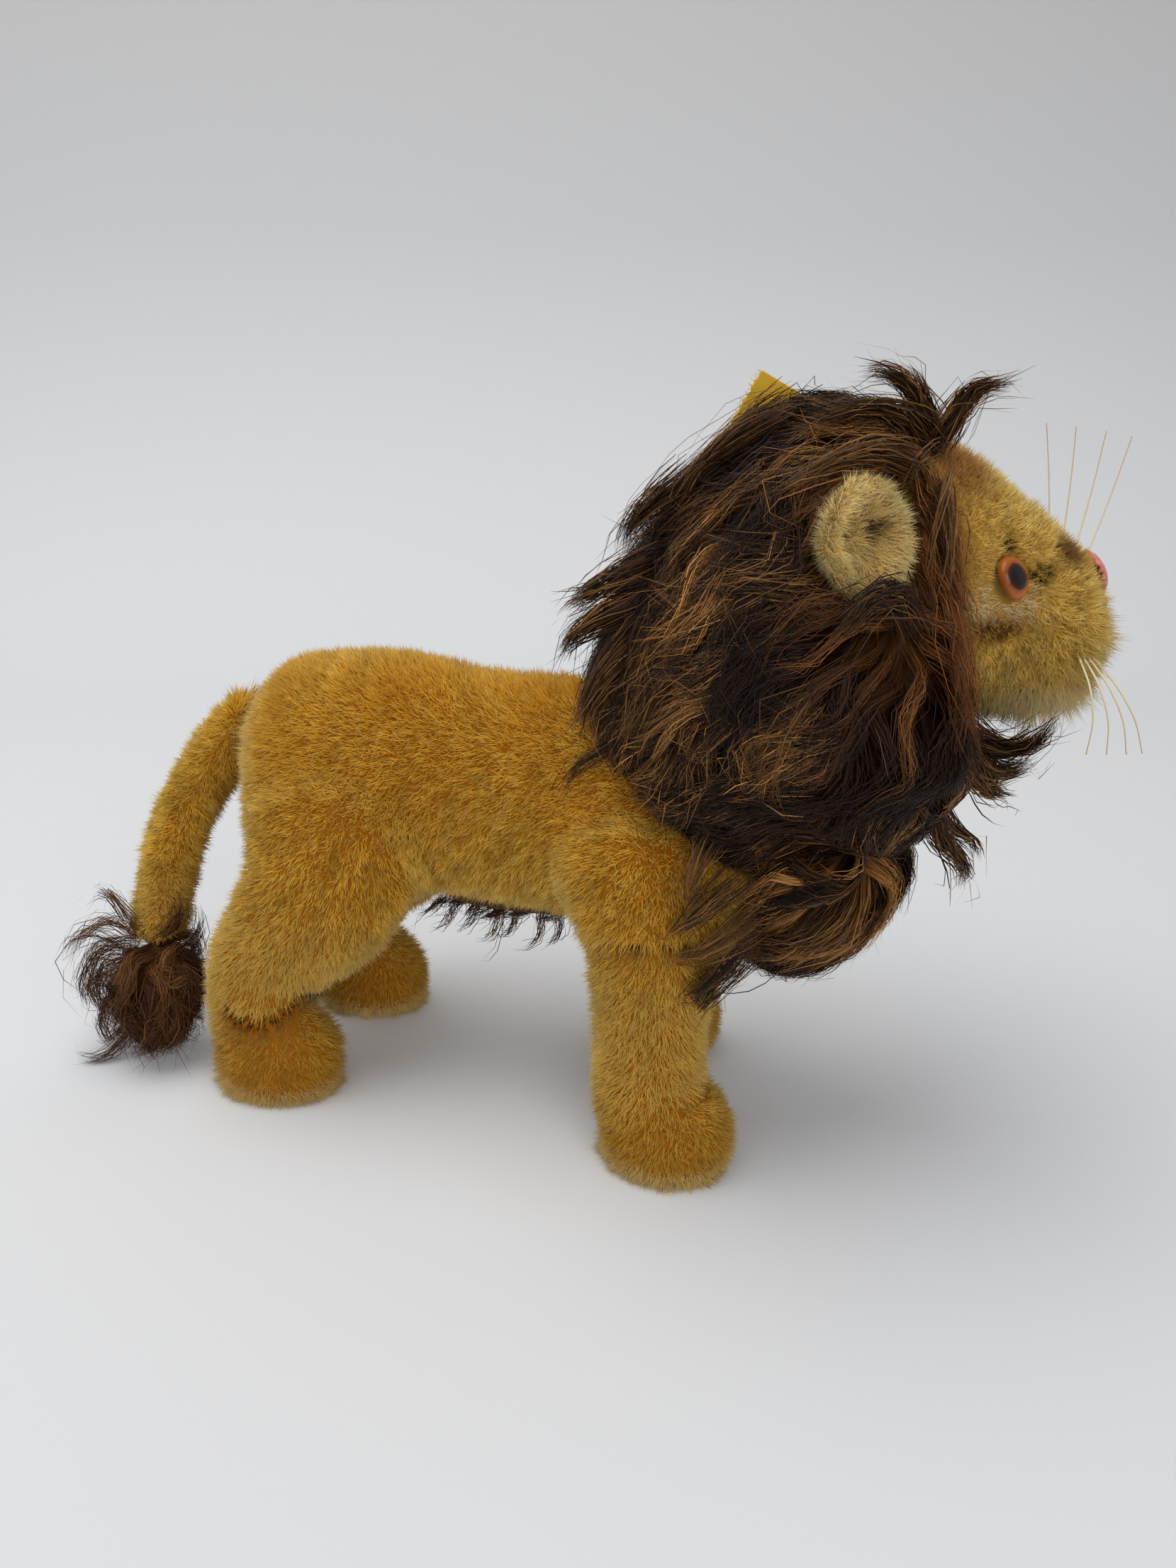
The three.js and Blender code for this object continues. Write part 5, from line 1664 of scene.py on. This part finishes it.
def growMane():
    # hair combed over the hood, kept off the head and the mouths of the ears
    k = maneSet
    guideRoots, guides, roots, paths, index, stray = combHair(maneRoots, maneLength, maneFlow, maneCloud, k,
                                                              clearOfHead)
    outer = paths[:, 2:]
    paths[:, 2:] = clearOfHead(outer.reshape(-1, 3), 0.5).reshape(outer.shape)
    keep = ~coversEar(paths)
    paths, index, stray, roots = paths[keep], index[keep], stray[keep], roots[keep]
    # each lock is toned by where its outer half lies, where it shows
    tone = toneAt(guides[:, 8], maneTonesAndCrownHighlight, k["toneSize"], 81) + rng.normal(size=len(guideRoots)) * 0.12
    lockTone = np.clip(tone[index] * 0.9 + rng.normal(size=len(roots)) * 0.24, 0, 1)
    facing = unit(paths - np.array(k["centre"]))
    width = k["width"] * rng.uniform(0.75, 1.25, len(roots))
    shade = hairShade(len(roots), stray)
    # rust brown over the forehead, and in patches through the rest
    rust = smooth(54, 61, roots[:, 0]) * smooth(76, 86, roots[:, 2])
    patchy = np.clip(ripple(guideRoots, 10, 87)[index] * 0.5 - 0.1, 0, 0.5) * (0.2 + 0.8 * lockTone)
    paint = np.zeros((len(roots), 4))
    paint[:, :3] = linear(160, 98, 42)
    paint[:, 3] = np.clip(0.75 * rust + 0.7 * patchy, 0, 0.85) * rng.uniform(0.3, 1, len(roots))
    # in five pieces: the crown, and an upper and a lower part of each side
    _, y, z = paths[:, 3].T
    crown, lower = z > k["crownOver"], z < k["lowUnder"]
    between = ~crown & ~lower
    parts = {
        "crown": crown, "right": between & (y < 0), "left": between & (y >= 0), "low_right": lower & (y < 0),
        "low_left": lower & (y >= 0),
    }
    for name, own in parts.items():
        growHair("mane_hair_" + name, "head", maneMaterial, paths[own], facing[own], width[own], shade[own],
                 lockTone[own], paint[own])


def growManeLocks():
    locks = headLocks + otherSide(headLocks[4:9] + headLocks[15:20], 1.0)
    paths = np.concatenate([handLock(points, count, spread, lockSet) for points, count, spread, _ in locks])
    # one lock on each side is let across the ear's lower corner
    overEar = np.concatenate([np.full(count, points[0][0] == 60.5 and points[0][2] == 84.5)
                              for points, count, _, _ in locks])
    bare = ~coversEar(paths) | overEar
    paths, tones = paths[bare], np.concatenate([np.full(count, tone) for _, count, _, tone in locks])[bare]
    tones = np.clip(0.4 + tones * 0.4 + rng.normal(size=len(paths)) * 0.2, 0, 1)
    width = 0.16 * rng.uniform(0.75, 1.25, len(paths))
    growHair("mane_locks", "head", maneMaterial, paths, unit(paths - np.array(maneSet["centre"])), width,
             hairShade(len(paths), np.zeros(len(paths))), tones)


maneMaterial = hairMaterial(hairTones)
hoodGround = skinMaterial("maneGround", (96, 66, 42))
sewHood()
growMane()
growManeLocks()
tell("mane")


# the pile's own form is drawn back at the bottom, so that its lower edge slants
bibForm = makeForm([(46.08, 0, 56, 20, 12.04), (50, 0, 47.6, 20, 13.6), (46.4, 0, 39.6, 18, 12.0),
                        (38.6, 0, 31.4, 12.5, 7.4)], (0.25, 0.3))
bibSet = {
    "rootsUnder": 4.0, "guides": 460, "hairs": 17000, "length": (13, 21), "width": 0.125, "waveSize": 8, "seed": 73,
    "turns": (0.5, 1.1), "sway": 0.4, "curl": 0.6, "lift": 1.6, "under": 2.5, "over": 0.5, "clump": 0.64,
    "frizz": 0.38, "strays": 0.06, "thick": 1.1, "centre": (38.0, 0, 48),
}
shoulderLocks = [
    ([(25, -17.5, 66.5), (22.0, -19.0, 64.6), (18.8, -19.4, 61.8), (17.0, -19.4, 58.0)], 50, 0.9, -0.5),
    ([(39, -21, 56), (37.0, -23.2, 52.6), (36.0, -23.6, 48.2), (38.4, -23.4, 44.4)], 40, 1.3, 0.0),
    ([(42, -21, 50), (38.4, -23.0, 46.8), (35.4, -23.0, 43.4), (33.0, -22.6, 41.0)], 60, 1.3, -0.4),
    ([(44, -20, 44), (40.0, -22.0, 40.6), (36.4, -22.0, 38.2), (32.6, -21.6, 37.6)], 60, 1.3, 0.0),
    ([(44, -19, 40), (40.4, -21.0, 35.8), (37.2, -21.2, 32.8), (34.6, -21.0, 31.0)], 70, 1.3, -0.5),
    ([(43, -18, 38), (40.0, -19.6, 33.4), (37.6, -19.8, 30.2), (36.6, -19.4, 28.4)], 60, 1.3, -0.7),
]


def bibFlow(spots):
    # back and down over the chest, and a little apart
    outward = np.sign(spots[:, 1] + 1e-6) * smooth(1, 10, np.abs(spots[:, 1]))
    return unit(waysOf(-0.9, 0.12 * outward, -0.46) + 0.26 * ripple3(spots, 14, 95))


def clearOfLegs(spots):
    # keeps the bib's hair outside the body, under the mane's lower edge and outside the collar
    for cloud in bodyClouds:
        spots, _ = pushedOut(spots, cloud, 0.6, 2, 6)
    height = neckHeight(spots)
    over = np.maximum(height - 10.6, 0) * (height < 30)
    height, foot, across, reach = neckReach(spots - neckWay * over[:, None])
    least = collar["bib"] * (height > -0.2)
    spots = foot + across * np.maximum(1, least / np.maximum(reach, 1))[:, None]
    spots[:, 2] = np.maximum(spots[:, 2], 0.3)
    return spots


def bibRoots(count):
    along, around = scatter(bibForm, count * 3, (0.01, 0.99), -bibSet["rootsUnder"])
    spots = loftPoint(bibForm, along, around, -bibSet["rootsUnder"])
    normals = loftNormal(bibForm, along, around)
    body = np.stack([distanceTo(spots, c, 2)[0] for c in bodyClouds]).min(0)
    height, _, _, reach = neckReach(spots)
    keep = (body > -1.5) & (height < 10) & ((height < 0) | (reach > 26))
    return someOf(count, spots[keep], normals[keep])


def bibLength(length, roots):
    return length * (1 - 0.45 * smooth(40, 30, roots[:, 2]))


def withLocks(paths, tones, shade, lockPaths, lockTones):
    paths = np.concatenate([paths, *lockPaths])
    more = len(paths) - len(shade)
    return paths, np.concatenate([tones, *lockTones]), np.concatenate([shade, hairShade(more, np.zeros(more))])


def makeBib():
    # the skin held outside the legs, its combed hair, and the locks over the shoulders
    k = bibSet
    rings, sides = 48, 48
    points = clearOfLegs(gridPoints(bibForm, rings, sides, -k["rootsUnder"]))
    skin = gridPiece("chest_bib_skin", points, rings, sides, "root", hoodGround, ("chest_bib",))
    guideRoots, guides, roots, paths, index, stray = combHair(bibRoots, bibLength, bibFlow,
                                                              cloudOf(bibForm, 60, 44), k, clearOfLegs)
    shown = guides[:, 8]
    tone = 0.42 + 0.36 * ripple(shown * [0.5, 1, 1.4], 8, 83) + rng.normal(size=len(guideRoots)) * 0.14
    # darker towards the bottom, and darker at the top as painted shade under the mane's lower edge
    tone = tone - 0.45 * smooth(37, 31, shown[:, 2]) - 0.5 * smooth(49, 54, shown[:, 2])
    tones = np.clip(tone[index] + rng.normal(size=len(roots)) * 0.12, 0, 1)
    shade = hairShade(len(roots), stray)
    locks = tonedLocks(shoulderLocks + otherSide(shoulderLocks), 0.3, 0.5, 0.12)
    paths, tones, shade = withLocks(paths, tones, shade, *locks)
    growHair("chest_bib_hair", "root", maneMaterial, paths, unit(paths - np.array(k["centre"])),
             k["width"] * rng.uniform(0.75, 1.25, len(paths)), shade, tones)


makeBib()
tell("bib")


fringeSet = {
    "count": 560, "length": (2, 6), "width": 0.11, "clump": 0.7, "frizz": 0.4, "strays": 0.16, "thick": 0.3,
    "guides": 15, "tone": 0.1,
}
fringeWisps = [
    [(-6.4, -1.2, 31), (-7.6, -1.6, 28.6), (-8.8, -2, 26.4), (-11.2, -2.2, 25.2)],
    [(-3.0, -1.2, 31), (-3.6, -1.8, 28.8), (-5.0, -2.2, 26.6), (-7.0, -2.4, 26.2)],
    [(0.8, -1.4, 31), (0.6, -2, 28.2), (-0.8, -2.4, 25.4), (-3.4, -2.6, 24.2)],
    [(3.6, -1.2, 31), (3.4, -1.8, 28.6), (2.2, -2.2, 26.6), (0.4, -2.4, 26.4)],
    [(7.6, -1.2, 31), (7.8, -1.8, 28.0), (6.6, -2.2, 25.2), (4.4, -2.4, 24.0)],
    [(10.6, -1.2, 31), (11.0, -1.8, 28.6), (10.2, -2.2, 26.4), (8.4, -2.4, 25.6)],
]


def makeFringe():
    # the sewn strip along the belly, and the locks that hang from it in small points
    k = fringeSet
    form = makeForm([(-9, 0, 31.6, 2.0, 1.1), (3, 0, 31.4, 2.6, 1.3), (15, 0, 31.6, 2.0, 1.1)], (0.2, 0.2))
    skin = gridPiece("belly_fringe_skin", gridPoints(form, 36, 20), 36, 20, "root", hoodGround,
                     ("belly_fringe",))
    count = k["guides"]
    x = np.linspace(-9.5, 11.5, count) + rng.normal(size=count) * 0.7
    start = waysOf(x, rng.normal(size=count) * 1.3, 30.6)
    level = np.linspace(0, 1, 13)[None, :, None]
    length = rng.uniform(*k["length"], count)[:, None, None]
    way = unit(waysOf(rng.normal(size=count) * 0.3 - 0.55, rng.normal(size=count) * 0.3 - 0.15, -0.7))
    flick = waysOf(rng.normal(size=count) * 1.2 - 1.2, rng.normal(size=count), rng.uniform(0, 1.4, count))
    guides = start[:, None] + way[:, None] * level * length * 0.72 + flick[:, None] * level**2.5
    count = k["count"]
    roots = waysOf(rng.uniform(-10.5, 12.5, count), rng.normal(size=count) * 1.3, 30.7)
    normals = np.tile([0.0, 0, -1], (count, 1))
    paths, _, stray = clumpHair(roots, normals, guides, k)
    tones = np.clip(k["tone"] + rng.normal(size=count) * 0.1, 0, 1)
    wisps = [handLock(pts, 20, 0.6, lockSet) for pts in fringeWisps]
    paths = np.concatenate([paths, *wisps])
    tones = np.concatenate([tones, np.clip(k["tone"] + rng.normal(size=len(paths) - count) * 0.1, 0, 1)])
    stray = np.concatenate([stray, np.zeros(len(paths) - len(stray), bool)])
    growHair("belly_fringe_hair", "root", maneMaterial, paths, np.tile([[[0, -1.0, -0.3]]], (len(paths), 1, 1)),
             k["width"] * rng.uniform(0.75, 1.25, len(paths)), hairShade(len(paths), stray), tones)


makeFringe()


tuftRows = [(-58.83, -10, 24.53, 4.51, 4.51), (-58.17, -11.64, 18.45, 7.79, 7.79), (-57.68, -13.94, 11.8, 8.2, 8.2),
            (-56.86, -15.9, 3.25, 5.08, 5.08)]
tuftForm = makeForm(np.array(tuftRows) * [1, 1, 1, 0.86, 0.9] + [1.0, 0, 0, 0, 0], (0.25, 0.3))
tuftSet = {
    "guides": 170, "hairs": 8000, "length": (9, 17), "width": 0.12, "waveSize": 5, "seed": 75, "turns": (0.6, 1.2),
    "sway": 0.7, "curl": 1.5, "lift": 3.6, "under": 1.6, "over": 0.3, "clump": 0.72, "frizz": 0.6, "strays": 0.14,
    "thick": 0.8, "rootsUnder": 3.4, "centre": (-57.8, -13.0, 15),
}
tuftLocks = [
    ([(-60, -12, 20), (-65.5, -13, 20.6), (-69.4, -13, 16.6), (-71.0, -13, 11.8), (-68.0, -13, 9.6)], 70, 1.1, 0.1),
    ([(-61, -12, 17), (-66.6, -13, 16.0), (-70.4, -13, 11.2), (-69.6, -13, 6.4), (-66.0, -13, 5.8)], 80, 1.2, 0.0),
    ([(-61, -12, 18), (-67.0, -13, 18.4), (-72.4, -13, 13.6), (-73.0, -13, 8.2)], 40, 1.3, 0.2),
    ([(-60, -13, 13), (-65.0, -14, 11.2), (-68.4, -14, 6.4), (-67.2, -14, 2.6), (-64.2, -14, 1.6)], 70, 1.1, 0.0),
    ([(-59, -14, 8), (-63.4, -15, 5.4), (-66.6, -16, 2.2), (-69.6, -16, 1.4)], 60, 1.0, -0.2),
    ([(-59, -14, 8), (-63.0, -15, 4.0), (-64.6, -16, 1.6), (-67.0, -17, 0.8), (-70.0, -17, 1.8)], 50, 1.0, -0.2),
    ([(-57, -12, 22), (-53.4, -12, 24.4), (-51.2, -12, 27.6), (-51.6, -12, 31.6)], 70, 0.9, -0.2),
    ([(-56, -12, 20), (-52.0, -12, 20.4), (-49.6, -12, 23.6), (-50.4, -12, 27.6)], 50, 0.9, -0.3),
    ([(-59.5, -13, 22), (-63.0, -14, 25.6), (-66.6, -14, 24.0), (-70.4, -14, 20.6), (-72.4, -14, 16.6)], 60, 1.0, 0.1),
    ([(-59.5, -13, 23), (-62.0, -14, 28.0), (-65.0, -14, 29.6), (-67.6, -14, 27.6)], 40, 0.8, 0.0),
    ([(-62, -13, 20), (-66.0, -14, 23.4), (-70.0, -14, 22.0), (-72.6, -14, 18.6)], 26, 0.8, 0.2),
    ([(-62, -13, 15), (-67.6, -14, 14.6), (-71.6, -14, 11.0), (-72.2, -14, 6.6)], 26, 0.9, 0.1),
    ([(-62, -14, 10), (-66.6, -15, 8.6), (-69.0, -15, 5.0), (-67.6, -15, 1.8)], 26, 0.9, 0.0),
]


def clearOfFloor(spots):
    spots, _ = pushedOut(spots, tailCloud, 0.5, 2, 5)
    spots[:, 2] = np.maximum(spots[:, 2], 0.35)
    return spots


def tuftFlow(spots):
    return unit(np.array([[-0.12, -0.1, -1.0]]) + 0.5 * ripple3(spots, 7, 97))


def tuftRoots(count):
    along, around = scatter(tuftForm, count, (0.0, 0.97), -tuftSet["rootsUnder"])
    return loftPoint(tuftForm, along, around, -tuftSet["rootsUnder"]), loftNormal(tuftForm, along, around)


def tuftLength(length, roots):
    return length * (0.5 + 0.5 * smooth(5, 16, roots[:, 2]))


def makeTuft():
    # a core drawn in under the hair, combed hair, and locks that fan out
    k = tuftSet
    rings, sides = 30, 28
    skin = gridPiece("tail_tuft_core", gridPoints(tuftForm, rings, sides, -k["rootsUnder"]), rings, sides, "tail",
                     hoodGround, ("tail_tuft",))
    guideRoots, _, roots, paths, index, stray = combHair(tuftRoots, tuftLength, tuftFlow,
                                                         cloudOf(tuftForm, 44, 36), k, clearOfFloor)
    tone = 0.06 + 0.16 * ripple(guideRoots, 5, 85) + rng.normal(size=len(guideRoots)) * 0.1
    tones = np.clip(tone + 0.12 * smooth(14, 20, guideRoots[:, 2]), 0, 1)[index]
    shade = hairShade(len(roots), stray)
    lockPaths, lockTones = tonedLocks(tuftLocks, 0.15, 0.4, 0.1)
    for number, lock in enumerate(lockPaths):
        # the locks fan out to both sides of the tail
        lock[..., 1] += (number * 2 % 5 - 2) * 1.6 * np.linspace(0, 1, lock.shape[1]) ** 1.3
    paths, tones, shade = withLocks(paths, tones, shade, lockPaths, lockTones)
    warm = np.zeros((len(paths), 4))
    warm[:, :3] = linear(104, 52, 12)
    warm[:, 3] = rng.uniform(0.05, 0.5, len(paths))
    paths[..., 2] = np.maximum(paths[..., 2], 0.3)
    growHair("tail_tuft_hair", "tail", maneMaterial, paths, unit(paths - np.array(k["centre"])),
             k["width"] * rng.uniform(0.75, 1.25, len(paths)), shade, tones, warm)


makeTuft()
tell("fringe and tuft")


# ---- cloth tag, felt soles and the inner pieces ----

tagSet = {"seat": (51.3, 16.2, 99.65), "pitch": 29, "from": 3.0, "length": 16.0, "width": 10.0, "thick": 0.3}


def clothMaterial():
    # plain weave: fine crossed ribs in the tag's own map, slightly uneven yellow
    material, tree, shader = newMaterial("tagCloth", 0.7, 0.2, 0.25)
    along, across, _ = channels(tree, "weave")
    warp = math2(tree, "SINE", math2(tree, "MULTIPLY", along, 2 * math.pi * 62), 0)
    weft = math2(tree, "SINE", math2(tree, "MULTIPLY", across, 2 * math.pi * 44), 0)
    weave = math2(tree, "MULTIPLY", warp, weft)
    share = math2(tree, "ADD", math2(tree, "MULTIPLY", weave, 0.3), placeNoise(tree, 420))
    tree.links.new(mixColour(tree, share, tint(208, 158, 30), tint(244, 200, 62)), shader.inputs["Base Color"])
    addBump(tree, shader, weave, 0.5, 0.00006)
    return material


def makeTag():
    # a strip of ribbon, front and back faces joined all round: it bows a little along its length
    k = tagSet
    pitch = math.radians(k["pitch"])
    alongWay = np.array([-math.cos(pitch), 0, math.sin(pitch)])
    acrossWay = np.array([math.sin(pitch), 0, math.cos(pitch)])
    n, m = 56, 36
    u, w = crossed(np.linspace(0, 1, n), np.linspace(-0.5, 0.5, m))
    reach = k["from"] + u * (k["length"] - k["from"])
    jag = 0.12 * np.sin(w * 60) * (u > 0.999) + 0.1 * np.sin(w * 23 + 1) * (u > 0.999)
    bow = 0.5 * np.sin(u * math.pi * 0.9) + 0.35 * (w * 2) ** 2 * u
    centre = np.array(k["seat"]) + alongWay * (reach + jag)[:, None] + acrossWay * (w * k["width"])[:, None]
    sheets = [centre + np.array([0, 1.0, 0]) * (bow + half)[:, None] for half in (k["thick"] / 2, -k["thick"] / 2)]
    points = onFace(np.concatenate(sheets))
    r, c = crossed(np.arange(n - 1), np.arange(m - 1))
    at = lambda i, j: i * m + j
    front = np.stack([at(r, c), at(r + 1, c), at(r + 1, c + 1), at(r, c + 1)], -1)
    back = front[:, ::-1] + n * m
    rim = np.concatenate([
        np.arange(m), np.arange(1, n) * m + m - 1, (n - 1) * m + np.arange(m - 2, -1, -1), np.arange(n - 2, 0, -1) * m])
    after = np.roll(rim, -1)
    edge = np.stack([rim, after, after + n * m, rim + n * m], -1)
    uv = np.concatenate([np.stack([u * 0.48, w + 0.5], -1), np.stack([u * 0.48 + 0.5, w + 0.5], -1)])
    weave = np.tile(waysOf(u, w + 0.5, 0, 1), (2, 1))
    tag = meshPiece("ear_tag_cloth", points, [front, back, edge], "head", tagMaterial, ("ear_tag",),
                    uv, {"weave": weave})
    # loose thread ends along the cut edge
    count = 34
    w = np.linspace(-0.49, 0.49, count) + rng.normal(size=count) * 0.006
    start = np.array(k["seat"]) + alongWay * (k["length"] - 0.2) + acrossWay * (w * k["width"])[:, None]
    start = start + np.array([0, 1.0, 0]) * (0.5 * math.sin(math.pi * 0.9) + 0.35 * (w * 2) ** 2)[:, None]
    reach = rng.uniform(0.3, 1.0, count)[:, None, None]
    level = np.linspace(0, 1, 5)[None, :, None]
    way = unit(alongWay + rng.normal(size=(count, 3)) * 0.22)
    curl = acrossWay * (level**2 * rng.normal(size=(count, 1, 1)) * 0.2)
    paths = start[:, None] + way[:, None] * level * reach + curl
    threads, faces, uv, _ = tubes(onFace(paths), np.full((count, 5), 0.045), 5)
    fray = meshPiece("ear_tag_fray", threads, faces, "head", tagMaterial, (), uv,
                     {"weave": np.tile([0.1, 0.1, 0, 1.0], (len(threads), 1))})


tagMaterial = clothMaterial()
makeTag()


def makeSole(name):
    # a felt disc: flat under, its edge rounded by a quarter circle at each side
    low, high = (np.array(corner) * 1000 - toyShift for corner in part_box(name))
    middle, half = (low + high) / 2, (high - low) / 2
    radii = np.array([0.35, 0.7, 0.93, 0.985, 1.0, 1.0, 0.985, 0.93, 0.6]) * 0.9
    heights = np.array([-1, -1, -1, -0.85, -0.5, 0.5, 0.85, 1, 1])
    points = middle + half * latheRings(radii, heights, 48, 1) * [1, -1, 1]
    piece = gridPiece(name + "_felt", points, len(radii) + 1, 48, "root", feltMaterial, (name,))


feltMaterial = skinMaterial("soleFelt", (206, 168, 98), 1500)
for soleName in ("front_sole_right", "front_sole_left", "hind_sole_right", "hind_sole_left"):
    makeSole(soleName)


def steelMaterial():
    # drawn wire: fine streaks in the grey and in the roughness
    material, tree, shader = newMaterial("drawnSteel", 0.35, 0.0, 0.5)
    shader.inputs["Metallic"].default_value = 1.0
    noise = placeNoise(tree, 700, 6)
    grey = mixColour(tree, noise, tint(128, 128, 126), tint(188, 188, 184))
    tree.links.new(grey, shader.inputs["Base Color"])
    rough = math2(tree, "ADD", math2(tree, "MULTIPLY", noise, 0.3), 0.2)
    tree.links.new(rough, shader.inputs["Roughness"])
    return material


# solids that the skins don't stand for, and what they are made of
innerSet = {
    "steel": ["front_leg_wire", "hind_leg_wire", "tail_wire", "eye_shank_right", "eye_shank_left",
              "neck_washer_body", "neck_washer_head", "neck_pin"],
    "hardboard": ["neck_disc_body", "neck_disc_head"],
}
innerMaterials = {"steel": steelMaterial(), "hardboard": skinMaterial("hardboard", (150, 116, 76), 500)}
for kind, names in innerSet.items():
    for nodeName in names:
        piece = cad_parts[nodeName]
        if not piece.material_slots:
            piece.data.materials.append(innerMaterials[kind])
        for materialSlot in piece.material_slots:
            materialSlot.material = innerMaterials[kind]
tell("tag, soles and inner pieces")


# ---- stage ----

def makeStage():
    # a floor that curves up into a wall behind the toy, with painted shade darkening the wall as it rises
    steps, columns = 80, 25
    run = np.linspace(0, 1, steps)
    bend = (run - 0.5) * math.pi
    depth = np.where(run < 0.5, -900 + 2240 * run, 220 + 160 * np.sin(bend))
    height = np.where(run < 0.5, 0, 160 * (1 - np.cos(bend)))
    depth = np.append(depth, np.full(8, depth[-1]))
    height = np.append(height, height[-1] + 120 * np.linspace(1, 8, 8))
    across, depth = np.tile(np.linspace(-1500, 1500, columns), len(depth)), np.repeat(depth, columns)
    turn = math.radians(view["yaw"])
    points = np.stack([across * math.cos(turn) - depth * math.sin(turn),
                       across * math.sin(turn) + depth * math.cos(turn), np.repeat(height, columns)], -1)
    row, step = crossed(np.arange(len(height) - 1), np.arange(columns - 1))
    at = row * columns + step
    faces = np.stack([at, at + 1, at + columns + 1, at + columns], -1)
    material, tree, shader = newMaterial("shadedPaper", 0.85, 0.0, 0.2)
    place = addNode(tree, "ShaderNodeTexCoord")
    split = addNode(tree, "ShaderNodeSeparateXYZ")
    tree.links.new(place.outputs["Object"], split.inputs[0])
    # painted shade: the paper goes from near white on the floor to grey up the wall
    rise = math2(tree, "MULTIPLY", split.outputs[2], 4.0)
    shadedPaper = colourRamp(tree, rise, ((0.0, (228, 230, 232)), (1.0, (196, 196, 196))))
    tree.links.new(shadedPaper, shader.inputs["Base Color"])
    backdrop = addObject("backdrop", newMesh("backdrop", points, [faces], material)[0])


makeStage()
